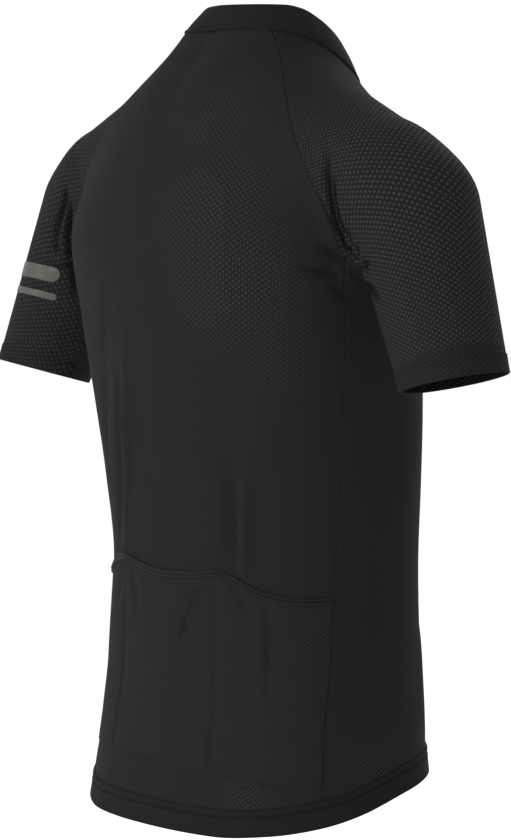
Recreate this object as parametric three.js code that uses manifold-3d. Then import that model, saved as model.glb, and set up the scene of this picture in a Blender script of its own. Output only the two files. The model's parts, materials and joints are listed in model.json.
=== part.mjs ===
/*
 * Short-sleeved cycling jersey, hollow as it is worn, in millimetres.
 *
 * The origin is the middle of the neck base, +Z is up, the front faces -Y and the wearer's
 * left is at +X. Every cloth piece is a closed wall whose outer points lie on one smooth
 * form, and the pieces stand SEAM_GAP apart where they are sewn together.
 */
import * as THREE from 'three';
import { mergeVertices } from 'three/addons/utils/BufferGeometryUtils.js';
import Module from 'manifold-3d';

const wasm = await Module();
wasm.setup();

// Cloth
const WALL = 1.2;
const SEAM_GAP = 0.3;
const DOUBLED = 0.8;
const CUFF_HEM = 18;
const BAND_HEIGHT = 24;

// Torso sections, rising: half width, depth to the back and to the front, and centre in Y
const TORSO = [
  { z: -780, half: 189, back: 134, front: 138, centre: 12 },
  { z: -669, half: 180, back: 119, front: 134, centre: 6 },
  { z: -615, half: 171.5, back: 111, front: 131, centre: 5 },
  { z: -566, half: 166, back: 106, front: 129.5, centre: 4.5 },
  { z: -475, half: 161, back: 106, front: 129.5, centre: 4 },
  { z: -396, half: 167, back: 111, front: 132, centre: 6.5 },
  { z: -332, half: 173, back: 117.5, front: 134, centre: 10 },
  { z: -250, half: 181.5, back: 125, front: 133, centre: 15.5 },
  { z: -180, half: 186, back: 128, front: 123, centre: 22 },
  { z: -130, half: 170, back: 117, front: 104, centre: 21.5 },
  { z: -90, half: 139, back: 97.5, front: 88, centre: 17 },
  { z: -50, half: 106, back: 75.5, front: 73, centre: 9.5 },
  { z: -10, half: 79.5, back: 57.5, front: 60, centre: 1.5 },
  { z: 60, half: 64, back: 44.5, front: 55, centre: -4 },
];
const SECTION_POWER = 2.25;

// Tapered round limbs that the torso blends into
const SHOULDER_YOKE = {
  from: new THREE.Vector3(36, 16, -68.5), to: new THREE.Vector3(197, 20, -116),
  fromRadius: 65, toRadius: 46, depth: 1.15,
};
const ARM = {
  from: new THREE.Vector3(238.5, 14.3, -153.5), to: new THREE.Vector3(307, 28.5, -293.5),
  fromRadius: 56.8, toRadius: 46.8, depth: 1,
};
const ARM_RUN_ON = 80;
const YOKE_BLEND = 45;
const ARM_BLEND = 38;

// Seam round the neck: angle from the back centre, and height
const NECK_SEAM = [
  { angle: 0, z: 8 }, { angle: 40, z: 9 }, { angle: 60, z: 7.5 }, { angle: 75, z: 4 },
  { angle: 90, z: -3 }, { angle: 100, z: -13 }, { angle: 110, z: -27 }, { angle: 130, z: -46 },
  { angle: 155, z: -57 }, { angle: 180, z: -60 },
];
const RAGLAN_BACK_ANGLE = 61;
const RAGLAN_FRONT_ANGLE = 130;

// Raglan seams from the neck to the underarm; the points are settled onto the form
const RAGLAN_BACK = [
  { x: 84, y: 42, z: -12 }, { x: 108, y: 56, z: -36 }, { x: 149, y: 77, z: -84 },
  { x: 176, y: 79, z: -128 }, { x: 190, y: 70, z: -166 }, { x: 190, y: 52, z: -197 },
];
const UNDERARM = [{ x: 196, y: 34, z: -207 }, { x: 200, y: 12, z: -210 }];
const RAGLAN_FRONT = [
  { x: 197, y: -10, z: -206 }, { x: 189, y: -34, z: -188 }, { x: 176, y: -52, z: -156 },
  { x: 150, y: -64, z: -118 }, { x: 108, y: -66, z: -82 },
];

// Side seam, set towards the back: angle round the section from the back centre
const SIDE_SEAM = [
  { z: -760, angle: 64 }, { z: -649, angle: 65 }, { z: -600, angle: 66.7 }, { z: -563, angle: 69 },
  { z: -494, angle: 72.2 }, { z: -402, angle: 75.3 }, { z: -307, angle: 77.1 }, { z: -190, angle: 78 },
];

// Lower edge, dropped at the back
const HEM = [
  { angle: 0, z: -705 }, { angle: 28, z: -705 }, { angle: 45, z: -701 }, { angle: 65, z: -692.5 },
  { angle: 85, z: -681 }, { angle: 105, z: -668.5 }, { angle: 130, z: -661 }, { angle: 180, z: -658 },
];

// Collar: its upper edge, and how far it bellies out
const COLLAR_TOP = { half: 66, depth: 63, centre: -20 };
const COLLAR_TOP_EDGE = [
  { angle: 0, z: 32.5 }, { angle: 58, z: 31 }, { angle: 71, z: 28 }, { angle: 87, z: 19 },
  { angle: 108, z: 4 }, { angle: 137, z: -19 }, { angle: 180, z: -32 },
];
const COLLAR_BELLY = 1.6;

// Back pockets: three compartments side by side, their bound mouths sagging between the stitch lines.
// Angles run from the wearer's right, below zero, to the wearer's left.
const POCKET_DIVIDER_ANGLE = 24.5;
const POCKET_MOUTH = [
  { angle: -76, z: -492 }, { angle: -58, z: -493 }, { angle: -46, z: -489 }, { angle: -31, z: -475 },
  { angle: -24.5, z: -471 }, { angle: -17, z: -474 }, { angle: 0, z: -476 }, { angle: 17, z: -470 },
  { angle: 24.5, z: -467 }, { angle: 31, z: -470 }, { angle: 44, z: -484 }, { angle: 60, z: -490 },
  { angle: 76, z: -491 },
];
const POCKET_FOOT = [
  { angle: -76, z: -655 }, { angle: -35, z: -660 }, { angle: -24, z: -656 }, { angle: 0, z: -652.5 },
  { angle: 24, z: -651 }, { angle: 76, z: -657 },
];
const BINDING_HEIGHT = 6;
const BINDING_THICKNESS = 2.6;
const POCKET_FULLNESS = 2.0;

// Cuffs: how far each lies beyond the end of the arm, and its plane's slope outwards and to the back
const CUFF_RIGHT = { beyond: 4.5, out: 0.23, back: -0.05 };
const CUFF_LEFT = { beyond: 20, out: 0.11, back: 0.25 };

// Front zip
const FRONT_EDGE_X = 6;
const TAPE = { from: 2.8, to: 12, outer: -1.6, thickness: 1 };
const CHAIN = { half: 2.5, outer: -0.2, thickness: 2.4, bottomGap: 2, intoSlider: 1.6 };
const SLIDER = {
  half: 4.5, length: 9, plate: 1.2, below: 5, post: 2.2, front: 0.6, back: -4.6, level: 0.55,
  corner: 1.4, postFrom: 2, inset: 0.4, sunk: 0.2,
};
const BRIDGE = { half: 0.8, leg: 1.2, reach: 2.5, gap: 2.2, bar: 1 };
const PULL = {
  half: 3, length: 26, thickness: 1.2, pin: 0.75, slot: 1.15, arm: 1.25, armLength: 4.8,
  corner: 1.8, sunk: 0.3, head: 0.5,
};

// Two plain reflective bars round the left sleeve: distance above the cuff, height, and ends
const BAR_LIFT = 0.3;
const BAR_THICKNESS = 1;
const BAR_TIP = 0.6;
const BARS = [
  { name: 'reflective_bar_wide', above: 91.2, height: 15.5, fromAngle: 49, toAngle: 192, columns: 18 },
  { name: 'reflective_bar_narrow', above: 73.5, height: 7, fromAngle: 45, toAngle: 189, columns: 18 },
];

/*
 * Main folds. Each runs between two points near the form and pushes the cloth out (a ridge)
 * or in (a trough) by depth, fading over its width and towards both ends.
 */
const FOLDS = [
  // long soft folds of the back
  { name: 'back_trough', from: [-72, 108, -330], to: [-80, 100, -468], width: 15, depth: -3.2 },
  { name: 'back_ridge', from: [-92, 104, -340], to: [-101, 92, -480], width: 14, depth: 2.6 },
  { name: 'left_back_crease', from: [74, 106, -245], to: [82, 96, -462], width: 8, depth: -1.8 },
  { name: 'left_back_ridge', from: [92, 100, -230], to: [104, 86, -380], width: 12, depth: 2.0 },
  { name: 'waist_sag', from: [-20, 112, -400], to: [-26, 106, -465], width: 26, depth: -2.2 },
  // creases that run from the raglan seams towards the underarms
  { name: 'right_armhole_crease_a', from: [-172, 84, -112], to: [-196, 56, -196], width: 6.5, depth: -3.4 },
  { name: 'right_armhole_ridge', from: [-184, 84, -120], to: [-206, 58, -192], width: 6.5, depth: 2.6 },
  { name: 'right_armhole_crease_b', from: [-196, 80, -142], to: [-214, 52, -198], width: 6, depth: -2.8 },
  { name: 'left_armhole_crease_a', from: [176, 82, -118], to: [200, 56, -198], width: 6.5, depth: -3.0 },
  { name: 'left_armhole_ridge', from: [190, 82, -126], to: [212, 56, -196], width: 6.5, depth: 2.4 },
  { name: 'right_front_armhole_crease', from: [-160, -68, -120], to: [-196, -26, -190], width: 8, depth: -3.2 },
  { name: 'right_front_armhole_ridge', from: [-172, -66, -122], to: [-208, -28, -188], width: 8, depth: 2.4 },
  { name: 'left_front_armhole_crease', from: [162, -68, -118], to: [198, -26, -190], width: 8, depth: -3.0 },
  { name: 'left_front_armhole_ridge', from: [174, -66, -124], to: [210, -28, -188], width: 8, depth: 2.2 },
  // flanks and front
  { name: 'right_flank_trough', from: [-166, -10, -330], to: [-158, -22, -430], width: 16, depth: -3.0 },
  { name: 'left_flank_trough', from: [168, 4, -320], to: [160, -16, -440], width: 15, depth: -3.2 },
  { name: 'right_front_trough', from: [-92, -112, -300], to: [-84, -116, -470], width: 20, depth: -3.2 },
  { name: 'left_front_trough', from: [86, -114, -290], to: [96, -108, -450], width: 19, depth: -2.8 },
  { name: 'right_front_ridge', from: [-60, -124, -330], to: [-52, -124, -500], width: 17, depth: 2.4 },
  { name: 'left_hip_ridge', from: [120, -88, -520], to: [132, -84, -628], width: 18, depth: 2.6 },
  { name: 'right_hip_ridge', from: [-124, -86, -530], to: [-136, -80, -630], width: 18, depth: 2.4 },
];

// Grid counts
const NECK_BACK_STEPS = 4;
const RAGLAN_BACK_STEPS = 10;
const UNDERARM_STEPS = 4;
const RAGLAN_FRONT_STEPS = 9;
const NECK_FRONT_STEPS = 2;
const NECK_SLEEVE_STEPS = 4;
const BODY_ROWS = 13;
const POCKET_ROWS = 6;
const BAND_ROWS = 2;
const SHOULDER_ROWS = 9;
const SLEEVE_ROWS = 6;
const COLLAR_ROWS = 4;
const BAR_ROWS = 4;

// How soon the body's columns reach their places below the armholes
const COLUMN_EASE = 0.6;

// How the sleeve's columns fan out below the underarm: even spread, and how strongly they open there
const UNDERARM_FAN = { even: 0.45, power: 2.5 };

// Inside of the shoulder that the sleeve's upper rows are cast from, and where its rings begin
const SHOULDER_INSIDE = new THREE.Vector3(150, 15, -110);
const UPPER_ARM_RUN = 44;

// Levels and angles that the body's columns are set out from
const SIDE_FOOT_Z = -668;
const MOUTH_LEVEL = -480;
const FRONT_MIDDLE_ANGLE = 178;

// Search for the form's surface: step and reach of a ray, halvings, and settling rounds
const RAY = { step: 6, reach: 500, halvings: 26 };
const SETTLE_ROUNDS = 12;
const NECK_ROUNDS = 8;
const SLOPE_STEP = 0.5;

// How a fold fades towards its ends, and how many widths past its run it still acts
const FOLD_FADE = 0.7;
const FOLD_REACH = 3;

const rad = THREE.MathUtils.degToRad;
const deg = THREE.MathUtils.radToDeg;
const mix = THREE.MathUtils.lerp;
const vec = (p) => new THREE.Vector3(p.x, p.y, p.z);

/** Cubic curve through a table that keeps to the table's own rises and falls. */
function curveThrough(rows, key, value) {
  const x = rows.map((row) => row[key]);
  const y = rows.map((row) => row[value]);
  const rise = x.slice(1).map((_, i) => (y[i + 1] - y[i]) / (x[i + 1] - x[i]));
  const slope = y.map((_, i) => {
    if (i === 0) return rise[0];
    if (i === rise.length) return rise[i - 1];
    const [a, b] = [rise[i - 1], rise[i]];
    return a * b > 0 ? (2 * a * b) / (a + b) : 0;
  });
  return (at) => {
    const v = THREE.MathUtils.clamp(at, x[0], x[x.length - 1]);
    const i = Math.min(Math.max(x.findIndex((start) => start > v) - 1, 0), rise.length - 1);
    const k = v >= x[x.length - 1] ? rise.length - 1 : i;
    const span = x[k + 1] - x[k];
    const s = (v - x[k]) / span;
    const lead = y[k] * (1 + 2 * s) * (1 - s) ** 2 + slope[k] * span * s * (1 - s) ** 2;
    return lead + y[k + 1] * s * s * (3 - 2 * s) - slope[k + 1] * span * s * s * (1 - s);
  };
}

const torsoHalf = curveThrough(TORSO, 'z', 'half');
const torsoBack = curveThrough(TORSO, 'z', 'back');
const torsoFront = curveThrough(TORSO, 'z', 'front');
const torsoCentre = curveThrough(TORSO, 'z', 'centre');
const neckHeight = curveThrough(NECK_SEAM, 'angle', 'z');
const hemHeight = curveThrough(HEM, 'angle', 'z');
const sideAngle = curveThrough(SIDE_SEAM, 'z', 'angle');
const collarTopHeight = curveThrough(COLLAR_TOP_EDGE, 'angle', 'z');
const pocketMouth = curveThrough(POCKET_MOUTH, 'angle', 'z');
const pocketFoot = curveThrough(POCKET_FOOT, 'angle', 'z');

/** Smaller of two distances, blended over a radius. */
function blend(a, b, radius) {
  const h = Math.max(radius - Math.abs(a - b), 0) / radius;
  return Math.min(a, b) - h * h * radius * 0.25;
}

/** Distance to the torso's sections, below zero inside. */
function torsoDistance(x, y, z) {
  const dy = y - torsoCentre(z);
  const depth = dy > 0 ? torsoBack(z) : torsoFront(z);
  const power = (Math.abs(x) / torsoHalf(z)) ** SECTION_POWER + (Math.abs(dy) / depth) ** SECTION_POWER;
  const scale = power ** (1 / SECTION_POWER) + 1e-9;
  const r = Math.hypot(x, dy);
  return r - r / scale;
}

/** Distance to a tapered round limb whose depth in Y is scaled. */
function limbDistance(x, y, z, limb) {
  const { from, to, depth } = limb;
  const d = [to.x - from.x, (to.y - from.y) / depth, to.z - from.z];
  const q = [x - from.x, (y - from.y) / depth, z - from.z];
  const along = (q[0] * d[0] + q[1] * d[1] + q[2] * d[2]) / (d[0] ** 2 + d[1] ** 2 + d[2] ** 2);
  const t = THREE.MathUtils.clamp(along, 0, 1);
  const off = Math.hypot(q[0] - t * d[0], q[1] - t * d[1], q[2] - t * d[2]);
  return off - mix(limb.fromRadius, limb.toRadius, t);
}

/** The arm, run on below the cuff so that its open end stays round. */
function armRunOn() {
  const length = ARM.from.distanceTo(ARM.to);
  const grow = 1 + ARM_RUN_ON / length;
  return {
    from: ARM.from, to: ARM.from.clone().lerp(ARM.to, grow), depth: ARM.depth,
    fromRadius: ARM.fromRadius, toRadius: mix(ARM.fromRadius, ARM.toRadius, grow),
  };
}
const LONG_ARM = armRunOn();

/** Distance to the whole form that the cloth lies on, the same on both sides of the body. */
function formDistance(p) {
  const x = Math.abs(p.x);
  const body = blend(torsoDistance(x, p.y, p.z), limbDistance(x, p.y, p.z, SHOULDER_YOKE), YOKE_BLEND);
  return blend(body, limbDistance(x, p.y, p.z, LONG_ARM), ARM_BLEND);
}

/** Outward direction of the form at a point. */
function formNormal(p) {
  const slope = (axis) => {
    const high = p.clone();
    const low = p.clone();
    high[axis] += SLOPE_STEP;
    low[axis] -= SLOPE_STEP;
    return formDistance(high) - formDistance(low);
  };
  return new THREE.Vector3(slope('x'), slope('y'), slope('z')).normalize();
}

/** First point where a ray from inside leaves the form. */
function castOut(origin, direction) {
  const way = direction.clone().normalize();
  const at = (t) => origin.clone().addScaledVector(way, t);
  let high = RAY.step;
  while (formDistance(at(high)) < 0 && high < RAY.reach) high += RAY.step;
  let low = high - RAY.step;
  for (let i = 0; i < RAY.halvings; i += 1) {
    const middle = (low + high) / 2;
    if (formDistance(at(middle)) < 0) low = middle;
    else high = middle;
  }
  return at((low + high) / 2);
}

/** Nearest way down or up the form's slope onto its surface. */
function settle(p) {
  const q = p.clone();
  for (let i = 0; i < SETTLE_ROUNDS; i += 1) q.addScaledVector(formNormal(q), -formDistance(q));
  return q;
}

/** Point of the torso at an angle from the back centre and a height. */
function onTorso(angle, z) {
  const a = rad(angle);
  const depth = Math.cos(a) > 0 ? torsoBack(z) : torsoFront(z);
  const origin = new THREE.Vector3(0, torsoCentre(z), z);
  return castOut(origin, new THREE.Vector3(torsoHalf(z) * Math.sin(a), depth * Math.cos(a), 0));
}

/** Angle of a point round the torso from the back centre. */
function torsoAngle(p) {
  const dy = p.y - torsoCentre(p.z);
  const depth = dy > 0 ? torsoBack(p.z) : torsoFront(p.z);
  return deg(Math.atan2(p.x / torsoHalf(p.z), dy / depth));
}

/** Front point of the torso at a given distance from the middle. */
function onFront(x, z) {
  return castOut(new THREE.Vector3(x, torsoCentre(z), z), new THREE.Vector3(0, -1, 0));
}

/** Point of the neck seam. */
function onNeck(angle) {
  const a = rad(angle);
  return castOut(new THREE.Vector3(0, 0, neckHeight(angle)), new THREE.Vector3(Math.sin(a), Math.cos(a), 0));
}

/** Neck angle whose point lies at a given distance from the front middle. */
function neckAngleAt(x) {
  let angle = FRONT_MIDDLE_ANGLE;
  for (let i = 0; i < NECK_ROUNDS; i += 1) angle = 180 - deg(Math.atan2(x, -onNeck(angle).y));
  return angle;
}

/** Even steps along a smooth curve through points, settled onto the form but for its ends. */
function seamThrough(points, steps) {
  const curve = new THREE.CatmullRomCurve3(points, false, 'centripetal');
  return curve.getSpacedPoints(steps).map((p, i) => (i === 0 || i === steps ? p : settle(p)));
}

/** Numbers from one value to another in equal steps, both ends included. */
function steps(from, to, count) {
  return Array.from({ length: count + 1 }, (_, i) => mix(from, to, i / count));
}

/** The seams of one half of the garment, all on the form and all at +X. */
function layOutSeams() {
  const neckBack = steps(0, RAGLAN_BACK_ANGLE, NECK_BACK_STEPS).map(onNeck);
  const neckSleeve = steps(RAGLAN_BACK_ANGLE, RAGLAN_FRONT_ANGLE, NECK_SLEEVE_STEPS).map(onNeck);
  const frontAngles = [
    ...steps(RAGLAN_FRONT_ANGLE, neckAngleAt(TAPE.to), NECK_FRONT_STEPS), neckAngleAt(FRONT_EDGE_X),
  ];
  const neckFront = frontAngles.map(onNeck);
  const sideTop = settle(vec(RAGLAN_BACK[RAGLAN_BACK.length - 1]));
  const underarm = UNDERARM.map((p) => settle(vec(p)));
  const raglanBack = seamThrough(
    [neckBack[neckBack.length - 1], ...RAGLAN_BACK.slice(0, -1).map(vec), sideTop], RAGLAN_BACK_STEPS,
  );
  const underarmSeam = seamThrough([sideTop, ...underarm], UNDERARM_STEPS);
  const raglanFront = seamThrough(
    [underarm[underarm.length - 1], ...RAGLAN_FRONT.map(vec), neckFront[0]], RAGLAN_FRONT_STEPS,
  );
  return { neckBack, neckSleeve, neckFront, frontAngles, raglanBack, underarmSeam, raglanFront };
}
const SEAMS = layOutSeams();

/** Push of all folds at a point of the form. */
function foldPush(p, normal) {
  let push = 0;
  for (const fold of FOLDS) {
    const from = new THREE.Vector3(...fold.from);
    const run = new THREE.Vector3(...fold.to).sub(from);
    const off = p.clone().sub(from);
    const t = off.dot(run) / run.lengthSq();
    const fade = Math.sin(Math.PI * THREE.MathUtils.clamp(t, 0, 1)) ** FOLD_FADE;
    off.addScaledVector(run, -t);
    off.addScaledVector(normal, -off.dot(normal));
    const near = off.length() / fold.width;
    const reach = p.distanceTo(from) < run.length() + FOLD_REACH * fold.width ? 1 : 0;
    push += fold.depth * fade * reach * Math.exp(-near * near);
  }
  return push;
}

/** Grid of wall points, each with its place and its outward direction, on one side of the body. */
function clothGrid(rows, side) {
  return rows.map((row) => row.map((p) => {
    const normal = formNormal(p);
    normal.x *= side;
    const place = new THREE.Vector3(p.x * side, p.y, p.z);
    place.addScaledVector(normal, foldPush(place, normal));
    return { place, normal };
  }));
}

/** Draws a grid's sewn edges back by half a seam gap, within the cloth. */
function drawBack(grid, edges) {
  const rows = grid.length;
  const columns = grid[0].length;
  const shifts = [];
  const pull = (j, i, jIn, iIn, jA, iA, jB, iB) => {
    const { place, normal } = grid[j][i];
    const along = grid[jB][iB].place.clone().sub(grid[jA][iA].place);
    const inward = normal.clone().cross(along).normalize();
    if (inward.dot(grid[jIn][iIn].place.clone().sub(place)) < 0) inward.negate();
    shifts.push([j, i, inward.multiplyScalar(SEAM_GAP / 2)]);
  };
  const ring = edges.ring === true;
  for (let i = 0; i < columns; i += 1) {
    const a = ring ? (i + columns - 1) % columns : Math.max(i - 1, 0);
    const b = ring ? (i + 1) % columns : Math.min(i + 1, columns - 1);
    if (edges.top) pull(0, i, 1, i, 0, a, 0, b);
    if (edges.bottom) pull(rows - 1, i, rows - 2, i, rows - 1, a, rows - 1, b);
  }
  for (let j = 0; j < rows; j += 1) {
    const a = Math.max(j - 1, 0);
    const b = Math.min(j + 1, rows - 1);
    if (edges.first) pull(j, 0, j, 1, a, 0, b, 0);
    if (edges.last) pull(j, columns - 1, j, columns - 2, a, columns - 1, b, columns - 1);
  }
  for (const [j, i, shift] of shifts) grid[j][i].place.add(shift);
  return grid;
}

/** Closed wall between two offsets of a grid; an offset may change from row to row. */
function wall(grid, outerAt, innerAt, ring = false) {
  const rows = grid.length;
  const columns = grid[0].length;
  const points = [];
  const lay = (offsetAt) => grid.forEach((row, j) => row.forEach((point, i) => {
    const p = point.place.clone().addScaledVector(point.normal, offsetAt(j, i));
    points.push(p.x, p.y, p.z);
  }));
  lay(outerAt);
  lay(innerAt);
  const half = rows * columns;
  const at = (j, i) => j * columns + (i % columns);
  const faces = [];
  const quad = (a, b, c, d) => faces.push(a, b, c, a, c, d);
  const spans = ring ? columns : columns - 1;
  for (let j = 0; j < rows - 1; j += 1) {
    for (let i = 0; i < spans; i += 1) {
      quad(at(j, i), at(j + 1, i), at(j + 1, i + 1), at(j, i + 1));
      quad(half + at(j, i), half + at(j, i + 1), half + at(j + 1, i + 1), half + at(j + 1, i));
    }
  }
  for (let i = 0; i < spans; i += 1) {
    const j = rows - 1;
    quad(at(0, i), at(0, i + 1), half + at(0, i + 1), half + at(0, i));
    quad(at(j, i + 1), at(j, i), half + at(j, i), half + at(j, i + 1));
  }
  for (let j = 0; !ring && j < rows - 1; j += 1) {
    const i = columns - 1;
    quad(at(j + 1, 0), at(j, 0), half + at(j, 0), half + at(j + 1, 0));
    quad(at(j, i), at(j + 1, i), half + at(j + 1, i), half + at(j, i));
  }
  return outwards(new Float32Array(points), faces);
}

/** Geometry from points and faces, turned so that its faces look out. */
function outwards(points, faces) {
  const geometry = new THREE.BufferGeometry();
  geometry.setAttribute('position', new THREE.BufferAttribute(points, 3));
  const corner = (index) => new THREE.Vector3().fromArray(points, index * 3);
  let volume = 0;
  for (let f = 0; f < faces.length; f += 3) {
    volume += corner(faces[f]).dot(corner(faces[f + 1]).cross(corner(faces[f + 2])));
  }
  geometry.setIndex(volume > 0 ? faces : faces.slice().reverse());
  geometry.computeVertexNormals();
  return geometry;
}

/** Outward directions, away from the body's middle, of a grid that does not lie on the form. */
function gridFromPoints(rows) {
  return rows.map((row, j) => row.map((place, i) => {
    const up = rows[Math.max(j - 1, 0)][i].clone().sub(rows[Math.min(j + 1, rows.length - 1)][i]);
    const round = row[Math.min(i + 1, row.length - 1)].clone().sub(row[Math.max(i - 1, 0)]);
    const normal = up.cross(round).normalize();
    if (normal.x * place.x + normal.y * place.y < 0) normal.negate();
    return { place: place.clone(), normal };
  }));
}

const SIDE_FOOT_ANGLE = sideAngle(SIDE_FOOT_Z);
const BACK_COLUMNS = NECK_BACK_STEPS + RAGLAN_BACK_STEPS;

/** Height where the hem band is sewn on. */
function bandTop(angle) {
  return hemHeight(Math.abs(angle)) + BAND_HEIGHT;
}

/** Share of the side seam's height at each body row, from its top to the hem band. */
function rowShares() {
  const top = SEAMS.raglanBack[SEAMS.raglanBack.length - 1].z;
  const foot = bandTop(SIDE_FOOT_ANGLE);
  const heights = backHeights(top, pocketMouth(SIDE_FOOT_ANGLE), pocketFoot(SIDE_FOOT_ANGLE), foot);
  return heights.map((z) => (top - z) / (top - foot));
}
const ROW_SHARES = rowShares();
const MOUTH_ROW = BODY_ROWS;
const FOOT_ROW = BODY_ROWS + 1 + POCKET_ROWS;

/** Heights of one back column: upper edge, pocket mouth, binding, pocket foot, hem band. */
function backHeights(top, mouth, foot, band) {
  return [...steps(top, mouth, BODY_ROWS), ...steps(mouth - BINDING_HEIGHT, foot, POCKET_ROWS), band];
}

/** One column of half of the back panel, from the neck or raglan seam down to the hem band. */
function backColumn(top, index, side) {
  const share = index / BACK_COLUMNS;
  const footAngle = SIDE_FOOT_ANGLE * share;
  const angleBelow = (z) => footAngle + (sideAngle(z) - SIDE_FOOT_ANGLE) * share;
  const mouthAngle = side * angleBelow(MOUTH_LEVEL);
  const foot = bandTop(footAngle);
  const heights = index === BACK_COLUMNS
    ? ROW_SHARES.map((down) => mix(top.z, foot, down))
    : backHeights(top.z, pocketMouth(mouthAngle), pocketFoot(side * footAngle), foot);
  const topAngle = torsoAngle(top);
  return heights.map((z, row) => {
    if (row === 0) return top;
    if (index === BACK_COLUMNS) return onTorso(sideAngle(z), z);
    return onTorso(mix(topAngle, angleBelow(z), Math.min(row / BODY_ROWS, 1) ** COLUMN_EASE), z);
  });
}

/** Columns of half of the back panel, from the middle to the side seam. */
function backColumns(side) {
  const upper = [...SEAMS.neckBack, ...SEAMS.raglanBack.slice(1)];
  return upper.map((top, index) => backColumn(top, index, side));
}

/** Turns lists of columns into rows. */
function rowsOf(columns) {
  return columns[0].map((_, j) => columns.map((column) => column[j]));
}

/** One grid across both halves of the body, from the right side to the left. */
function joinHalves(right, left) {
  return right.map((row, j) => [...row.slice().reverse(), ...left[j].slice(1)]);
}

/** Columns of a front panel, from the side seam to the zip. */
function frontColumns() {
  const upper = [...SEAMS.underarmSeam, ...SEAMS.raglanFront.slice(1), ...SEAMS.neckFront.slice(1)];
  const last = upper.length - 1;
  const footAngles = steps(SIDE_FOOT_ANGLE, FRONT_MIDDLE_ANGLE, last - 1);
  return upper.map((top, index) => {
    const byZip = index >= last - 1;
    const footAngle = byZip ? FRONT_MIDDLE_ANGLE : footAngles[index];
    const topAngle = torsoAngle(top);
    return ROW_SHARES.map((share, row) => {
      const z = mix(top.z, bandTop(footAngle), share);
      if (row === 0) return top;
      if (byZip) return onFront(index === last ? FRONT_EDGE_X : TAPE.to, z);
      if (index === 0) return onTorso(sideAngle(z), z);
      const swing = (sideAngle(z) - SIDE_FOOT_ANGLE) * (1 - index / last);
      return onTorso(mix(topAngle, footAngle + swing, Math.min(row / BODY_ROWS, 1) ** COLUMN_EASE), z);
    });
  });
}

const rootGroup = new THREE.Group();
rootGroup.name = 'cycling_jersey';

const FINISHES = {
  cloth: new THREE.MeshStandardMaterial({ color: 0x262524, roughness: 0.86, metalness: 0 }),
  trim: new THREE.MeshStandardMaterial({ color: 0x222120, roughness: 0.8, metalness: 0 }),
  reflective: new THREE.MeshStandardMaterial({ color: 0x8f8a83, roughness: 0.45, metalness: 0.1 }),
  metal: new THREE.MeshStandardMaterial({ color: 0x2a2a2b, roughness: 0.4, metalness: 0.8 }),
};

/** Adds a named piece with its own material. */
function addPiece(name, geometry, finish) {
  const mesh = new THREE.Mesh(geometry, FINISHES[finish].clone());
  mesh.name = name;
  rootGroup.add(mesh);
  return mesh;
}

const flat = (value) => () => value;

/** Back panel, and the pocket panel and binding that lie on its points. */
function buildBack() {
  const right = clothGrid(rowsOf(backColumns(-1)), -1);
  const left = clothGrid(rowsOf(backColumns(1)), 1);
  const panel = drawBack(joinHalves(right, left), { top: true, bottom: true, first: true, last: true });
  addPiece('back', wall(panel, flat(0), flat(-WALL)), 'cloth');

  const slice = (from, to) => panel.slice(from, to + 1).map((row) => row.map((point) => ({
    place: point.place.clone(), normal: point.normal.clone(),
  })));
  const binding = slice(MOUTH_ROW, MOUTH_ROW + 1);
  addPiece('pocket_binding', wall(binding, flat(SEAM_GAP + BINDING_THICKNESS), flat(SEAM_GAP)), 'trim');

  const pocket = drawBack(slice(MOUTH_ROW + 1, FOOT_ROW), { top: true });
  for (const point of pocket[0]) point.place.z -= SEAM_GAP / 2;
  const fullness = (j, i) => {
    const angle = Math.abs(torsoAngle(pocket[j][i].place));
    const middle = angle < POCKET_DIVIDER_ANGLE;
    const across = middle
      ? 0.5 + angle / (2 * POCKET_DIVIDER_ANGLE)
      : (angle - POCKET_DIVIDER_ANGLE) / (SIDE_FOOT_ANGLE - POCKET_DIVIDER_ANGLE);
    const down = j / (pocket.length - 1);
    return POCKET_FULLNESS * Math.sin(Math.PI * down) * Math.sin(Math.PI * Math.min(across, 1));
  };
  const inner = (j, i) => SEAM_GAP + fullness(j, i);
  addPiece('pocket_panel', wall(pocket, (j, i) => inner(j, i) + WALL, inner), 'cloth');
}

/** Front panels, wrapped round to the side seams behind the arms. */
function buildFronts() {
  const rows = rowsOf(frontColumns());
  for (const [name, side] of [['front_right', -1], ['front_left', 1]]) {
    const grid = drawBack(clothGrid(rows, side), { top: true, bottom: true, first: true });
    addPiece(name, wall(grid, flat(0), flat(-WALL)), 'cloth');
  }
}

/** The armhole's loop of points, and each column's turn round the arm below it. */
function sleeveLoop() {
  const loop = [
    ...SEAMS.underarmSeam.slice().reverse(),
    ...SEAMS.raglanBack.slice(0, -1).reverse(),
    ...SEAMS.neckSleeve.slice(1),
    ...SEAMS.raglanFront.slice().reverse().slice(1, -1),
  ];
  const run = [0];
  loop.forEach((p, i) => run.push(run[i] + p.distanceTo(loop[(i + 1) % loop.length])));
  const turns = loop.map((_, i) => {
    const share = (2 * run[i]) / run[loop.length];
    const half = Math.min(share, 2 - share);
    const turn = 0.5 * mix(1 - (1 - half) ** UNDERARM_FAN.power, half, UNDERARM_FAN.even);
    return share < 1 ? turn : 1 - turn;
  });
  return { loop, turns };
}
const SLEEVE_LOOP = sleeveLoop();
const ARM_WAY = ARM.to.clone().sub(ARM.from).normalize();

const SLEEVE_TOP = ARM.from.clone().addScaledVector(ARM_WAY, UPPER_ARM_RUN);

/** Point round the arm; turn runs from the inside by the back and outside to the front. */
function onArm(middle, normal, turn) {
  const inward = new THREE.Vector3(-1, 0, 0).addScaledVector(normal, normal.x).normalize();
  const back = normal.clone().cross(inward);
  if (back.y < 0) back.negate();
  const a = 2 * Math.PI * turn;
  return castOut(middle, inward.multiplyScalar(Math.cos(a)).addScaledVector(back, Math.sin(a)));
}

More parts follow.
